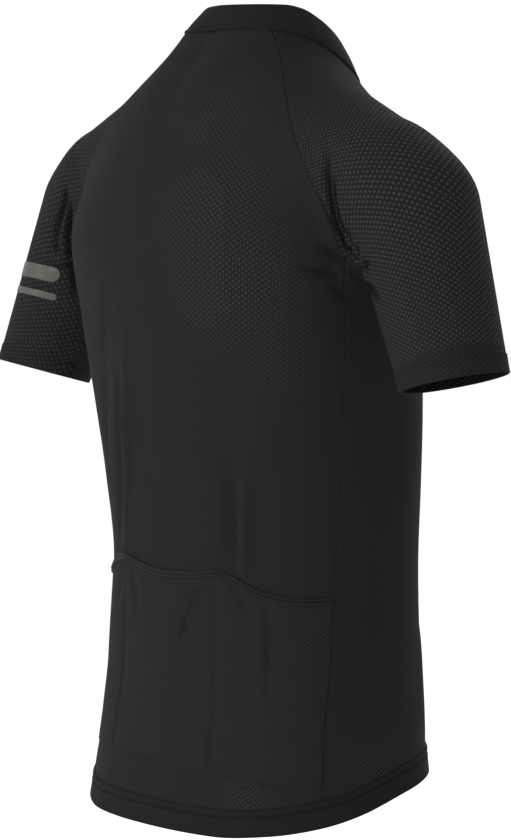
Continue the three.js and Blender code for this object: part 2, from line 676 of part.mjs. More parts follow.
const cuffMiddle = (cuff) => ARM.to.clone().addScaledVector(ARM_WAY, cuff.beyond);
const cuffNormal = (cuff) => new THREE.Vector3(cuff.out, cuff.back, -1).normalize();

/** Length of a sleeve from just below the underarm to its cuff. */
const sleeveRun = (cuff) => SLEEVE_TOP.distanceTo(cuffMiddle(cuff));

/** Point of a sleeve; share 0 is just below the underarm and 1 is the cuff. */
function onSleeve(cuff, share, turn) {
  const normal = ARM_WAY.clone().lerp(cuffNormal(cuff), share).normalize();
  return onArm(SLEEVE_TOP.clone().lerp(cuffMiddle(cuff), share), normal, turn);
}

/** Point of a sleeve on a plane that lies level with its cuff, some way above it. */
function aboveCuff(cuff, above, turn) {
  return onArm(cuffMiddle(cuff).addScaledVector(ARM_WAY, -above), cuffNormal(cuff), turn);
}

/** Rows of a sleeve from the raglan seams to the cuff. */
function sleeveRows(cuff) {
  const { loop, turns } = SLEEVE_LOOP;
  const target = turns.map((turn) => onSleeve(cuff, 0, turn));
  const shoulder = steps(0, 1, SHOULDER_ROWS).map((share) => loop.map((start, i) => {
    if (share === 0) return start;
    if (share === 1) return target[i];
    const inside = SHOULDER_INSIDE.clone().lerp(SLEEVE_TOP, share);
    const through = start.clone().lerp(target[i], share);
    return castOut(inside, through.sub(inside));
  }));
  const hemStart = 1 - CUFF_HEM / sleeveRun(cuff);
  const step = DOUBLED / sleeveRun(cuff);
  const shares = [...steps(0, hemStart - step, SLEEVE_ROWS).slice(1), hemStart, 1];
  const lower = shares.map((share) => turns.map((turn) => onSleeve(cuff, share, turn)));
  return [...shoulder, ...lower];
}

/** Sleeves, cut in one with the shoulders, each with a turned hem. */
function buildSleeves() {
  for (const [name, side, cuff] of [['sleeve_right', -1, CUFF_RIGHT], ['sleeve_left', 1, CUFF_LEFT]]) {
    const rows = sleeveRows(cuff);
    const thick = (j) => (j >= rows.length - 2 ? DOUBLED : 0);
    const grid = drawBack(clothGrid(rows, side), { top: true, ring: true });
    addPiece(name, wall(grid, thick, flat(-WALL), true), 'cloth');
  }
}

/** Two reflective bars with round ends, on the outside of the left sleeve. */
function buildBars() {
  for (const bar of BARS) {
    const round = bar.height / 2;
    const length = rad(bar.toAngle - bar.fromAngle) * ARM.toRadius;
    const columns = steps(0, 1, bar.columns).map((share) => {
      const eased = (1 - Math.cos(Math.PI * share)) / 2;
      const fromEnd = Math.min(eased, 1 - eased) * length;
      const inset = round - Math.sqrt(Math.max(round ** 2 - Math.max(round - fromEnd, 0) ** 2, 0));
      const half = Math.max(round - inset, BAR_TIP);
      const turn = mix(bar.fromAngle, bar.toAngle, eased) / 360;
      const middle = bar.above + round;
      return steps(half, -half, BAR_ROWS).map((lift) => aboveCuff(CUFF_LEFT, middle + lift, turn));
    });
    const grid = clothGrid(rowsOf(columns), 1);
    addPiece(bar.name, wall(grid, flat(BAR_LIFT + BAR_THICKNESS), flat(BAR_LIFT)), 'reflective');
  }
}

/** Half of the hem band, from the back centre to the zip edge, in rows downwards. */
function bandHalf(side) {
  const foot = (column) => column[column.length - 1];
  const upper = [...backColumns(side).map(foot), ...frontColumns().map(foot).slice(1)];
  const last = upper.length - 1;
  const rows = steps(0, 1, BAND_ROWS).map((share) => upper.map((top, index) => {
    const z = top.z - BAND_HEIGHT * share;
    if (share === 0) return top;
    if (index >= last - 1) return onFront(index === last ? FRONT_EDGE_X : TAPE.to, z);
    return onTorso(torsoAngle(top), z);
  }));
  return clothGrid(rows, side);
}

/** Hem band: one doubled strip from zip edge to zip edge. */
function buildHemBand() {
  const grid = drawBack(joinHalves(bandHalf(-1), bandHalf(1)), { top: true });
  addPiece('hem_band', wall(grid, flat(DOUBLED), flat(-WALL)), 'trim');
}

/** Point of the collar's upper edge, for an angle from the back centre. */
function onCollarTop(angle) {
  const a = rad(angle);
  const y = COLLAR_TOP.centre + COLLAR_TOP.depth * Math.cos(a);
  return new THREE.Vector3(COLLAR_TOP.half * Math.sin(a), y, collarTopHeight(angle));
}

/** Angles at the neck seam and at the collar's upper edge, at a distance from the front middle. */
function frontAnglesAt(x) {
  return { seam: neckAngleAt(x), top: 180 - deg(Math.asin(x / COLLAR_TOP.half)) };
}

/** Columns of one half of the collar: a pair of angles, at the seam and at the upper edge. */
function collarColumns() {
  const plain = [
    ...steps(0, RAGLAN_BACK_ANGLE, NECK_BACK_STEPS),
    ...steps(RAGLAN_BACK_ANGLE, RAGLAN_FRONT_ANGLE, NECK_SLEEVE_STEPS).slice(1),
    ...SEAMS.frontAngles.slice(1, -2),
  ].map((angle) => ({ seam: angle, top: angle }));
  return [...plain, frontAnglesAt(TAPE.to), frontAnglesAt(FRONT_EDGE_X)];
}

/** Point of the collar; height 0 is the neck seam and 1 is the upper edge. */
function onCollar(column, height) {
  const low = onNeck(column.seam);
  const high = onCollarTop(column.top);
  const p = low.clone().lerp(high, height);
  const out = new THREE.Vector3(p.x, p.y - mix(0, COLLAR_TOP.centre, height), 0).normalize();
  return p.addScaledVector(out, COLLAR_BELLY * 4 * height * (1 - height));
}

/** Collar heights from the upper edge down to just above the seam. */
function collarHeights() {
  const length = onNeck(0).distanceTo(onCollarTop(0));
  return steps(1, SEAM_GAP / length, COLLAR_ROWS);
}

/** Stand-up collar, a doubled band open at the front. */
function buildCollar() {
  const columns = collarColumns();
  const rows = collarHeights().map((height) => {
    const half = columns.map((column) => onCollar(column, height));
    const mirrored = half.slice(1).reverse().map((p) => new THREE.Vector3(-p.x, p.y, p.z));
    return [...mirrored, ...half];
  });
  const grid = gridFromPoints(rows);
  addPiece('collar', wall(grid, flat(DOUBLED), flat(-WALL)), 'trim');
}

/** Strip of the front opening at set distances from the middle, from collar top to hem. */
function openingRows(xs, side) {
  const foot = bandTop(FRONT_MIDDLE_ANGLE);
  const columns = xs.map((x) => {
    const angles = frontAnglesAt(x);
    const neck = onNeck(angles.seam);
    const collar = collarHeights().slice(0, -1).map((height) => onCollar(angles, height));
    const body = ROW_SHARES.slice(1).map((share) => onFront(x, mix(neck.z, foot, share)));
    const band = steps(0, 1, BAND_ROWS).slice(1).map((share) => onFront(x, foot - BAND_HEIGHT * share));
    return [...collar, neck, ...body, ...band];
  });
  return gridFromPoints(rowsOf(columns).map((row) => row.map((p) => p.clone().setX(p.x * side))));
}

/** Zip tapes behind the front edges, and the closed chain between them. */
function buildZip() {
  for (const [name, side] of [['zip_tape_right', -1], ['zip_tape_left', 1]]) {
    const grid = openingRows([TAPE.from, FRONT_EDGE_X, TAPE.to], side);
    addPiece(name, wall(grid, flat(TAPE.outer), flat(TAPE.outer - TAPE.thickness)), 'trim');
  }
  const middle = openingRows([CHAIN.half, TAPE.from], 1).map((row) => row[0]);
  const slider = sliderFrame();
  const kept = middle.filter(({ place }) => place.clone().sub(slider.origin).dot(slider.up) < -SLIDER.length);
  const top = { place: slider.origin.clone().addScaledVector(slider.up, CHAIN.intoSlider), normal: slider.out };
  const rows = [top, ...kept].map(({ place, normal }) => [-CHAIN.half, CHAIN.half].map((x) => ({
    place: place.clone().setX(x), normal: normal.clone().setX(0).normalize(),
  })));
  for (const point of rows[rows.length - 1]) point.place.z += CHAIN.bottomGap;
  addPiece('zip_chain', wall(rows, flat(CHAIN.outer), flat(CHAIN.outer - CHAIN.thickness)), 'metal');
}

/** Place of the slider just below the collar's upper edge, with its directions up and out. */
function sliderFrame() {
  const angles = { seam: 180, top: 180 };
  const upper = onCollar(angles, 1);
  const lower = onCollar(angles, SLIDER.level);
  const up = upper.clone().sub(lower).normalize();
  const out = new THREE.Vector3(0, -up.z, up.y);
  const origin = upper.clone().addScaledVector(up, -SLIDER.below);
  return { origin, up, out };
}

/** Solid from a closed geometry. */
function solidOf(geometry) {
  const bare = geometry.clone();
  bare.deleteAttribute('normal');
  bare.deleteAttribute('uv');
  const merged = mergeVertices(bare, 1e-4);
  const vertProperties = new Float32Array(merged.attributes.position.array);
  const triVerts = new Uint32Array(merged.index.array);
  return new wasm.Manifold(new wasm.Mesh({ numProp: 3, vertProperties, triVerts }));
}

/** Joins geometries into one. */
function fuse(geometries) {
  const solid = geometries.map(solidOf).reduce((a, b) => a.add(b));
  const mesh = solid.getMesh();
  return outwards(new Float32Array(mesh.vertProperties), Array.from(mesh.triVerts));
}

/** Box between two corners. */
function box(low, high) {
  const size = high.map((v, i) => v - low[i]);
  const geometry = new THREE.BoxGeometry(...size);
  return geometry.translate(...high.map((v, i) => (v + low[i]) / 2));
}

/** Plate with round corners, lying in X and Z, with its thickness in Y. */
function roundedPlate(half, top, foot, corner, thickness) {
  const shape = new THREE.Shape();
  shape.moveTo(-half + corner, foot);
  shape.lineTo(half - corner, foot);
  shape.absarc(half - corner, foot + corner, corner, -Math.PI / 2, 0);
  shape.lineTo(half, top - corner);
  shape.absarc(half - corner, top - corner, corner, 0, Math.PI / 2);
  shape.lineTo(-half + corner, top);
  shape.absarc(-half + corner, top - corner, corner, Math.PI / 2, Math.PI);
  shape.lineTo(-half, foot + corner);
  shape.absarc(-half + corner, foot + corner, corner, Math.PI, 1.5 * Math.PI);
  const flatPlate = { depth: thickness, bevelEnabled: false, curveSegments: 4 };
  const geometry = new THREE.ExtrudeGeometry(shape, flatPlate);
  geometry.rotateX(Math.PI / 2);
  return geometry.translate(0, thickness / 2, 0);
}

/** Slider with its bridge, and the pull tab that hangs from it. */
function buildSlider() {
  const { origin, up, out } = sliderFrame();
  const halfLength = SLIDER.length / 2;
  const face = SLIDER.front + SLIDER.plate;
  const plate = (from) => roundedPlate(SLIDER.half, halfLength, -halfLength, SLIDER.corner, SLIDER.plate)
    .translate(0, -(from + SLIDER.plate / 2), 0);
  const outBox = (x, lowUp, highUp, lowOut, highOut) => box([-x, -highOut, lowUp], [x, -lowOut, highUp]);
  const bridgeTop = face + BRIDGE.gap;
  const legFoot = face - SLIDER.sunk;
  const slider = fuse([
    plate(SLIDER.front),
    plate(SLIDER.back),
    outBox(SLIDER.post, SLIDER.postFrom, halfLength - SLIDER.inset, SLIDER.back + SLIDER.sunk, legFoot),
    outBox(BRIDGE.half, BRIDGE.reach - BRIDGE.leg, BRIDGE.reach, legFoot, bridgeTop + BRIDGE.bar),
    outBox(BRIDGE.half, -BRIDGE.reach, BRIDGE.leg - BRIDGE.reach, legFoot, bridgeTop + BRIDGE.bar),
    outBox(BRIDGE.half, -BRIDGE.reach, BRIDGE.reach, bridgeTop, bridgeTop + BRIDGE.bar),
  ]);
  const basis = new THREE.Matrix4().makeBasis(new THREE.Vector3(1, 0, 0), out.clone().negate(), up);
  basis.setPosition(origin);
  slider.applyMatrix4(basis);
  addPiece('zip_slider', slider, 'metal');

  const hinge = origin.clone().addScaledVector(out, face + BRIDGE.gap / 2);
  const pin = new THREE.CylinderGeometry(PULL.pin, PULL.pin, 2 * (PULL.slot + PULL.arm), 12);
  pin.rotateZ(Math.PI / 2);
  const t = PULL.thickness / 2;
  const arm = (side) => {
    const xs = [side * PULL.slot, side * (PULL.slot + PULL.arm)].sort((a, b) => a - b);
    return box([xs[0], -t, -PULL.armLength], [xs[1], t, PULL.head]);
  };
  const tab = roundedPlate(PULL.half, PULL.sunk - PULL.armLength, -PULL.length, PULL.corner, PULL.thickness);
  const pull = fuse([pin, arm(-1), arm(1), tab]);
  pull.translate(hinge.x, hinge.y, hinge.z);
  addPiece('zip_pull', pull, 'metal');
}

buildBack();
buildFronts();
buildSleeves();
buildBars();
buildHemBand();
buildCollar();
buildZip();
buildSlider();

export default rootGroup;
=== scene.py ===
"""Looks of a short-sleeved cycling jersey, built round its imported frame.

The tables are in millimetres, as on a maker's pattern, and the meshes are in metres.
+Z is up, the front faces -Y and the wearer's left is at +X, as in the frame.
"""

import json
import logging
import math
from dataclasses import dataclass
from enum import Enum
from typing import Any, Callable, Sequence

import bmesh
import bpy
import numpy as np
from mathutils import Matrix, Vector


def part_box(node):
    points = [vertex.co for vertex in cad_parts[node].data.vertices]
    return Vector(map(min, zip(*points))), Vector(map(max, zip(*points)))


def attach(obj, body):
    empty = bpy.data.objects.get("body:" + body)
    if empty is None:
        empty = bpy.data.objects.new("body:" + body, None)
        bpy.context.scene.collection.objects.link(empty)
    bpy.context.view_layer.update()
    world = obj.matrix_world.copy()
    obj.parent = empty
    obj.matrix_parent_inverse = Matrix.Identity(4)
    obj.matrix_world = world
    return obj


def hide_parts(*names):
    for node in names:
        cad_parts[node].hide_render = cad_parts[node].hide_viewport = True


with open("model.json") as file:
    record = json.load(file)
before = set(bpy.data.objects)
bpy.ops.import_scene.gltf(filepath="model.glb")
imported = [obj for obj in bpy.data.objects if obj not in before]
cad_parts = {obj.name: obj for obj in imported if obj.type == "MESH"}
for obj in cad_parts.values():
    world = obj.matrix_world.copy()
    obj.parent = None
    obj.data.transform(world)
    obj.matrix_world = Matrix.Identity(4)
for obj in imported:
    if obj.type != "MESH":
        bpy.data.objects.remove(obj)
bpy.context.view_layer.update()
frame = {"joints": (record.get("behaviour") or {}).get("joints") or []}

MM = 0.001
LOG = logging.getLogger("jersey")
Array = np.ndarray
Colour = tuple[float, float, float]


class Body(Enum):
    """Bodies of the frame that pieces ride on."""

    GARMENT = "garment"
    PULL = "pull"


class Side(Enum):
    """The wearer's sides, as the sign of X."""

    RIGHT = -1
    LEFT = 1

    @property
    def word(self) -> str:
        """Name of the side in the nodes' names."""
        return self.name.lower()


class Edge(Enum):
    """Edges of a grid of points."""

    TOP = "top"
    BOTTOM = "bottom"
    FIRST = "first"
    LAST = "last"


# Shader maths


class Signal:
    """A shader value that ordinary arithmetic works on."""

    def __init__(self, graph: "Graph", socket: bpy.types.NodeSocket) -> None:
        """Wraps an output socket of a graph."""
        self.graph = graph
        self.socket = socket

    def __add__(self, other: "Signal | float") -> "Signal":
        """Sum."""
        return self.graph.math("ADD", self, other)

    def __radd__(self, other: float) -> "Signal":
        """Sum with a number first."""
        return self.graph.math("ADD", other, self)

    def __sub__(self, other: "Signal | float") -> "Signal":
        """Difference."""
        return self.graph.math("SUBTRACT", self, other)

    def __rsub__(self, other: float) -> "Signal":
        """Difference with a number first."""
        return self.graph.math("SUBTRACT", other, self)

    def __mul__(self, other: "Signal | float") -> "Signal":
        """Product."""
        return self.graph.math("MULTIPLY", self, other)

    def __rmul__(self, other: float) -> "Signal":
        """Product with a number first."""
        return self.graph.math("MULTIPLY", other, self)

    def __truediv__(self, other: "Signal | float") -> "Signal":
        """Quotient."""
        return self.graph.math("DIVIDE", self, other)

    def __pow__(self, other: "Signal | float") -> "Signal":
        """Power."""
        return self.graph.math("POWER", self, other)

    def floor(self) -> "Signal":
        """Whole part."""
        return self.graph.math("FLOOR", self)

    def fraction(self) -> "Signal":
        """Part after the point."""
        return self.graph.math("FRACT", self)

    def size(self) -> "Signal":
        """Value without its sign."""
        return self.graph.math("ABSOLUTE", self)

    def sine(self) -> "Signal":
        """Sine of the value in radians."""
        return self.graph.math("SINE", self)

    def ramp(self, low: float, high: float) -> "Signal":
        """Smooth rise from 0 at low to 1 at high."""
        settings = {"interpolation_type": "SMOOTHSTEP"}
        sockets = {"Value": self, "From Min": low, "From Max": high}
        return Signal(self.graph, self.graph.node("ShaderNodeMapRange", settings, sockets).outputs["Result"])


class Graph:
    """The node tree of one material."""

    def __init__(self, name: str) -> None:
        """Starts a material with an empty tree.

        Args:
            name: Name of the material.
        """
        self.material = bpy.data.materials.new(name)
        self.material.use_nodes = True
        self.tree = self.material.node_tree
        self.tree.nodes.clear()

    def node(self, kind: str, settings: dict[str, Any], sockets: dict[str, Any]) -> bpy.types.Node:
        """Adds any node.

        Args:
            kind: Blender's type name of the node.
            settings: Properties of the node, set before its sockets.
            sockets: Values, or signals and sockets to link, by the inputs' names or numbers.

        Returns:
            The new node.
        """
        made = self.tree.nodes.new(kind)
        for key, value in settings.items():
            setattr(made, key, value)
        for key, value in sockets.items():
            target = made.inputs[key]
            if isinstance(value, Signal):
                self.tree.links.new(value.socket, target)
            elif isinstance(value, bpy.types.NodeSocket):
                self.tree.links.new(value, target)
            else:
                target.default_value = value
        return made

    def math(self, operation: str, *values: "Signal | float") -> Signal:
        """Adds a Math node for an expression.

        Args:
            operation: Blender's name of the operation.
            values: One or two values.

        Returns:
            The result.
        """
        made = self.node("ShaderNodeMath", {"operation": operation}, dict(enumerate(values)))
        return Signal(self, made.outputs[0])

    def flat_place(self) -> tuple[Signal, Signal]:
        """Place on the piece's flat cut, across and up, in millimetres."""
        uv = self.node("ShaderNodeUVMap", {"uv_map": "cut"}, {})
        split = self.node("ShaderNodeSeparateXYZ", {}, {0: uv.outputs[0]})
        return Signal(self, split.outputs[0]) / MM, Signal(self, split.outputs[1]) / MM

    def attribute(self, name: str) -> Signal:
        """A number that the piece's points carry."""
        made = self.node("ShaderNodeAttribute", {"attribute_name": name}, {})
        return Signal(self, made.outputs["Fac"])

    def noise(self, scale: float, detail: float = 2.0) -> Signal:
        """Cloudy noise by the object's own place; scale is in waves to a metre."""
        place = self.node("ShaderNodeTexCoord", {}, {}).outputs["Object"]
        sockets = {"Vector": place, "Scale": scale, "Detail": detail, "Roughness": 0.55}
        return Signal(self, self.node("ShaderNodeTexNoise", {}, sockets).outputs[0])

    def mix(self, share: Signal, low: Any, high: Any) -> bpy.types.NodeSocket:
        """Colour between two colours.

        Args:
            share: 0 for the first colour and 1 for the second.
            low: First colour, or a socket.
            high: Second colour, or a socket.

        Returns:
            The mixed colour's socket.
        """
        made = self.node("ShaderNodeMix", {"data_type": "RGBA"}, {0: share, 6: low, 7: high})
        return made.outputs[2]

    def bump(self, height: Signal, depth: float, strength: float) -> bpy.types.NodeSocket:
        """Normal from a height of 0 to 1 that stands for a depth in millimetres."""
        sockets = {"Height": height, "Distance": depth * MM, "Strength": strength}
        return self.node("ShaderNodeBump", {}, sockets).outputs[0]

    def surface(self, sockets: dict[str, Any]) -> bpy.types.Material:
        """Ends the tree with a Principled surface.

        Args:
            sockets: Inputs of the Principled node.

        Returns:
            The finished material.
        """
        shader = self.node("ShaderNodeBsdfPrincipled", {}, sockets)
        self.node("ShaderNodeOutputMaterial", {}, {"Surface": shader.outputs[0]})
        return self.material


def opaque(colour: Colour) -> tuple[float, float, float, float]:
    """Colour with full cover, as sockets take it."""
    return (*colour, 1.0)


@dataclass(frozen=True)
class KnitFinish:
    """Knitted cloth: fine wales, and staggered open cells where the piece's points say so. Its colour carries painted
    shade in sharp creases and, partly, painted highlight on the open cells.
    """

    name: str
    colour: Colour
    # Colour of the open cells: lighter than the cloth, partly the knit's own look and partly painted highlight where
    # the raised cells catch the light.
    light: Colour = (0.0205, 0.0193, 0.0178)
    cell: tuple[float, float] = (5.6, 2.25)
    cell_radius: float = 1.0
    cell_depth: float = 0.5
    wale: float = 1.15
    wale_depth: float = 0.16
    roughness: float = 0.82
    sheen: float = 0.0
    shine: float = 0.06
    mottle: float = 0.16

    def cells(self, graph: Graph) -> Signal:
        """Height of the staggered round cells, from 0 between them to 1 in their middles."""
        across, up = graph.flat_place()
        wide, high = self.cell
        row = up / high
        shift = (row.floor() * 0.5).fraction()
        x = ((across / wide + shift).fraction() - 0.5) * wide
        y = (row.fraction() - 0.5) * high
        away = x * x + y * y
        return 1 - away.ramp((0.35 * self.cell_radius) ** 2, (1.2 * self.cell_radius) ** 2)

    def wales(self, graph: Graph) -> Signal:
        """Height of the knit's columns of small slanted loops."""
        across, up = graph.flat_place()
        column = (across / self.wale).fraction() - 0.5
        loop = (up / (0.8 * self.wale) + column.size() * 1.3).fraction() - 0.5
        return (1 - column.size() * 1.6) * (1 - loop.size() * 0.9)

    def material(self) -> bpy.types.Material:
        """Builds the cloth's material."""
        graph = Graph(self.name)
        openness = graph.attribute("openness")
        cells = self.cells(graph) * openness
        wales = self.wales(graph)
        cloud = graph.noise(28.0, 3.0)
        grain = graph.noise(900.0, 1.0)
        dark = tuple(value * (1 - self.mottle) for value in self.colour)
        lifted = tuple(value * (1 + self.mottle) for value in self.colour)
        ground = graph.mix(cloud * 0.6 + grain * 0.4, opaque(dark), opaque(lifted))
        threads = graph.mix(wales * 0.28, ground, opaque(lifted))
        # Open cells shown lighter: the knit's pattern, with painted highlight in their lighter colour.
        cells_and_painted_highlight_colour = graph.mix(cells * 0.8, threads, opaque(self.light))
        # Painted shade: in sharp creases the colour darkens towards a fifth of the cloth's colour, for the light that
        # does not reach in.
        shade = tuple(value * 0.22 for value in self.colour)
        colour = graph.mix(graph.attribute("painted_crease_shade") * 0.85, cells_and_painted_highlight_colour, opaque(shade))
        height = cells * self.cell_depth + wales * self.wale_depth + grain * 0.08
        return graph.surface({
            "Base Color": colour,
            "Roughness": self.roughness + cloud * 0.08 - cells * 0.16,
            "Normal": graph.bump(height, 1.0, 0.75),
            "Specular IOR Level": self.shine,
            "Sheen Weight": self.sheen,
            "Sheen Roughness": 0.45,
            "Sheen Tint": opaque((0.55, 0.53, 0.5)),
        })


@dataclass(frozen=True)
class FilmFinish:
    """Grey reflective film with a fine beaded grain."""

    name: str = "reflective_film"
    colour: Colour = (0.0245, 0.0218, 0.019)
    bead: float = 900.0

    def material(self) -> bpy.types.Material:
        """Builds the film's material."""
        graph = Graph(self.name)
        beads = graph.noise(self.bead, 1.0)
        cloud = graph.noise(60.0, 2.0)
        dark = tuple(value * 0.82 for value in self.colour)
        light = tuple(value * 1.16 for value in self.colour)
        return graph.surface({
            "Base Color": graph.mix(beads * 0.5 + cloud * 0.5, opaque(dark), opaque(light)),
            "Roughness": 0.4 + beads * 0.2,
            "Metallic": 0.25,
            "Normal": graph.bump(beads, 0.05, 0.5),
        })


@dataclass(frozen=True)
class ThreadFinish:
    """Twisted sewing thread."""

    name: str
    colour: Colour = (0.0062, 0.0058, 0.0055)

    def material(self) -> bpy.types.Material:
        """Builds the thread's material."""
        graph = Graph(self.name)
        twist = graph.noise(2600.0, 1.0)
        dark = tuple(value * 0.6 for value in self.colour)
        return graph.surface({
            "Base Color": graph.mix(twist, opaque(dark), opaque(self.colour)),
            "Roughness": 0.7,
            "Normal": graph.bump(twist, 0.05, 0.5),
            "Specular IOR Level": 0.1,
        })


@dataclass(frozen=True)
class TapeFinish:
    """Woven tape: a fine herringbone."""

    name: str = "woven_tape"
    colour: Colour = (0.014, 0.014, 0.014)
    pitch: float = 0.9

    def material(self) -> bpy.types.Material:
        """Builds the tape's material."""
        graph = Graph(self.name)
        across, up = graph.flat_place()
        zigzag = ((across / (4 * self.pitch)).fraction() - 0.5).size() * 4
        ribs = ((up / self.pitch + zigzag).fraction() - 0.5).size() * 2
        light = tuple(value * 2.2 for value in self.colour)
        return graph.surface({
            "Base Color": graph.mix(ribs, opaque(self.colour), opaque(light)),
            "Roughness": 0.75,
            "Normal": graph.bump(ribs, 0.2, 0.6),
            "Sheen Weight": 0.15,
        })


@dataclass(frozen=True)
class HardFinish:
    """Moulded plastic or lacquered metal, with slight handling marks."""

    name: str
    colour: Colour
    metallic: float
    roughness: float
    wear: float = 0.25

    def material(self) -> bpy.types.Material:
        """Builds the hard finish."""
        graph = Graph(self.name)
        marks = graph.noise(700.0, 4.0).ramp(0.5, 0.75)
        worn = tuple(min(value * (1 + 4 * self.wear), 1.0) for value in self.colour)
        return graph.surface({
            "Base Color": graph.mix(marks * self.wear, opaque(self.colour), opaque(worn)),
            "Roughness": self.roughness + marks * 0.15,
            "Metallic": self.metallic,
            "Normal": graph.bump(marks, 0.02, 0.3),
        })


@dataclass(frozen=True)
class FloorFinish:
    """Plain pale studio floor."""

    name: str = "pale_floor"
    colour: Colour = (0.95, 0.95, 0.945)

    def material(self) -> bpy.types.Material:
        """Builds the floor's material."""
        graph = Graph(self.name)
        cloud = graph.noise(0.7, 2.0)
        light = tuple(value * 1.02 for value in self.colour)
        return graph.surface({
            "Base Color": graph.mix(cloud, opaque(self.colour), opaque(light)),
            "Roughness": 0.8,
        })


# The worn shape


class Curve:
    """Cubic curve through a table that keeps to the table's own rises and falls."""

    def __init__(self, rows: Sequence[tuple[float, float]]) -> None:
        """Takes rows of a place and its value, in rising order of place."""
        self.x, self.y = np.array(rows, float).T
        rise = np.diff(self.y) / np.diff(self.x)
        self.slope = np.empty_like(self.y)
        self.slope[0], self.slope[-1] = rise[0], rise[-1]
        before, after = rise[:-1], rise[1:]
        total = before + after
        kept = before * after > 0
        self.slope[1:-1] = np.where(kept, 2 * before * after / np.where(kept, total, 1), 0)

    def __call__(self, at: Array | float) -> Array:
        """Value at a place."""
        v = np.clip(at, self.x[0], self.x[-1])
        k = np.clip(np.searchsorted(self.x, v, side="right") - 1, 0, len(self.x) - 2)
        span = self.x[k + 1] - self.x[k]
        s = (v - self.x[k]) / span
        lead = self.y[k] * (1 + 2 * s) * (1 - s) ** 2 + self.slope[k] * span * s * (1 - s) ** 2
        return lead + self.y[k + 1] * s * s * (3 - 2 * s) - self.slope[k + 1] * span * s * s * (1 - s)


@dataclass(frozen=True)
class Limb:
    """A tapered round limb whose depth in Y is scaled."""

    start: tuple[float, float, float]
    end: tuple[float, float, float]
    start_radius: float
    end_radius: float
    depth: float = 1.0

    def distance(self, p: Array) -> Array:
        """Distance of points to the limb's surface, below zero inside."""
        squash = np.array([1, 1 / self.depth, 1])
        way = (np.array(self.end) - self.start) * squash
        off = (p - self.start) * squash
        t = np.clip(off @ way / (way @ way), 0, 1)
        away = np.linalg.norm(off - t[..., None] * way, axis=-1)
        return away - (self.start_radius + (self.end_radius - self.start_radius) * t)

    def run_on(self, further: float) -> "Limb":
        """The same limb, longer at its end."""
        start, end = np.array(self.start), np.array(self.end)
        grow = 1 + further / np.linalg.norm(end - start)
        radius = self.start_radius + (self.end_radius - self.start_radius) * grow
        return Limb(self.start, tuple(start + (end - start) * grow), self.start_radius, radius, self.depth)


def blend(a: Array, b: Array, radius: float) -> Array:
    """Smaller of two distances, blended over a radius."""
    h = np.maximum(radius - np.abs(a - b), 0) / radius
    return np.minimum(a, b) - h * h * radius * 0.25


# Torso sections, rising: height, half width, depth to the back and to the front, centre in Y
TORSO = (
    (-780, 189, 134, 138, 12), (-669, 180, 119, 134, 6), (-615, 171.5, 111, 131, 5),
    (-566, 166, 106, 129.5, 4.5), (-475, 161, 106, 129.5, 4), (-396, 167, 111, 132, 6.5),
    (-332, 173, 117.5, 134, 10), (-250, 181.5, 125, 133, 15.5), (-180, 186, 128, 123, 22),
    (-130, 170, 117, 104, 21.5), (-90, 139, 97.5, 88, 17), (-50, 106, 75.5, 73, 9.5),
    (-10, 79.5, 57.5, 60, 1.5), (60, 64, 44.5, 55, -4),
)
NECK_SEAM = (
    (0, 8), (40, 9), (60, 7.5), (75, 4), (90, -3), (100, -13), (110, -27), (130, -46), (155, -57), (180, -60),
)
SIDE_SEAM = ((-760, 64), (-649, 65), (-600, 66.7), (-563, 69), (-494, 72.2), (-402, 75.3), (-307, 77.1), (-190, 78))
HEM = ((0, -705), (28, -705), (45, -701), (65, -692.5), (85, -681), (105, -668.5), (130, -661), (180, -658))
COLLAR_TOP_EDGE = ((0, 32.5), (58, 31), (71, 28), (87, 19), (108, 4), (137, -19), (180, -32))
POCKET_MOUTH = (
    (-76, -492), (-58, -493), (-46, -489), (-31, -475), (-24.5, -471), (-17, -474), (0, -476), (17, -470),
    (24.5, -467), (31, -470), (44, -484), (60, -490), (76, -491),
)
POCKET_FOOT = ((-76, -655), (-35, -660), (-24, -656), (0, -652.5), (24, -651), (76, -657))


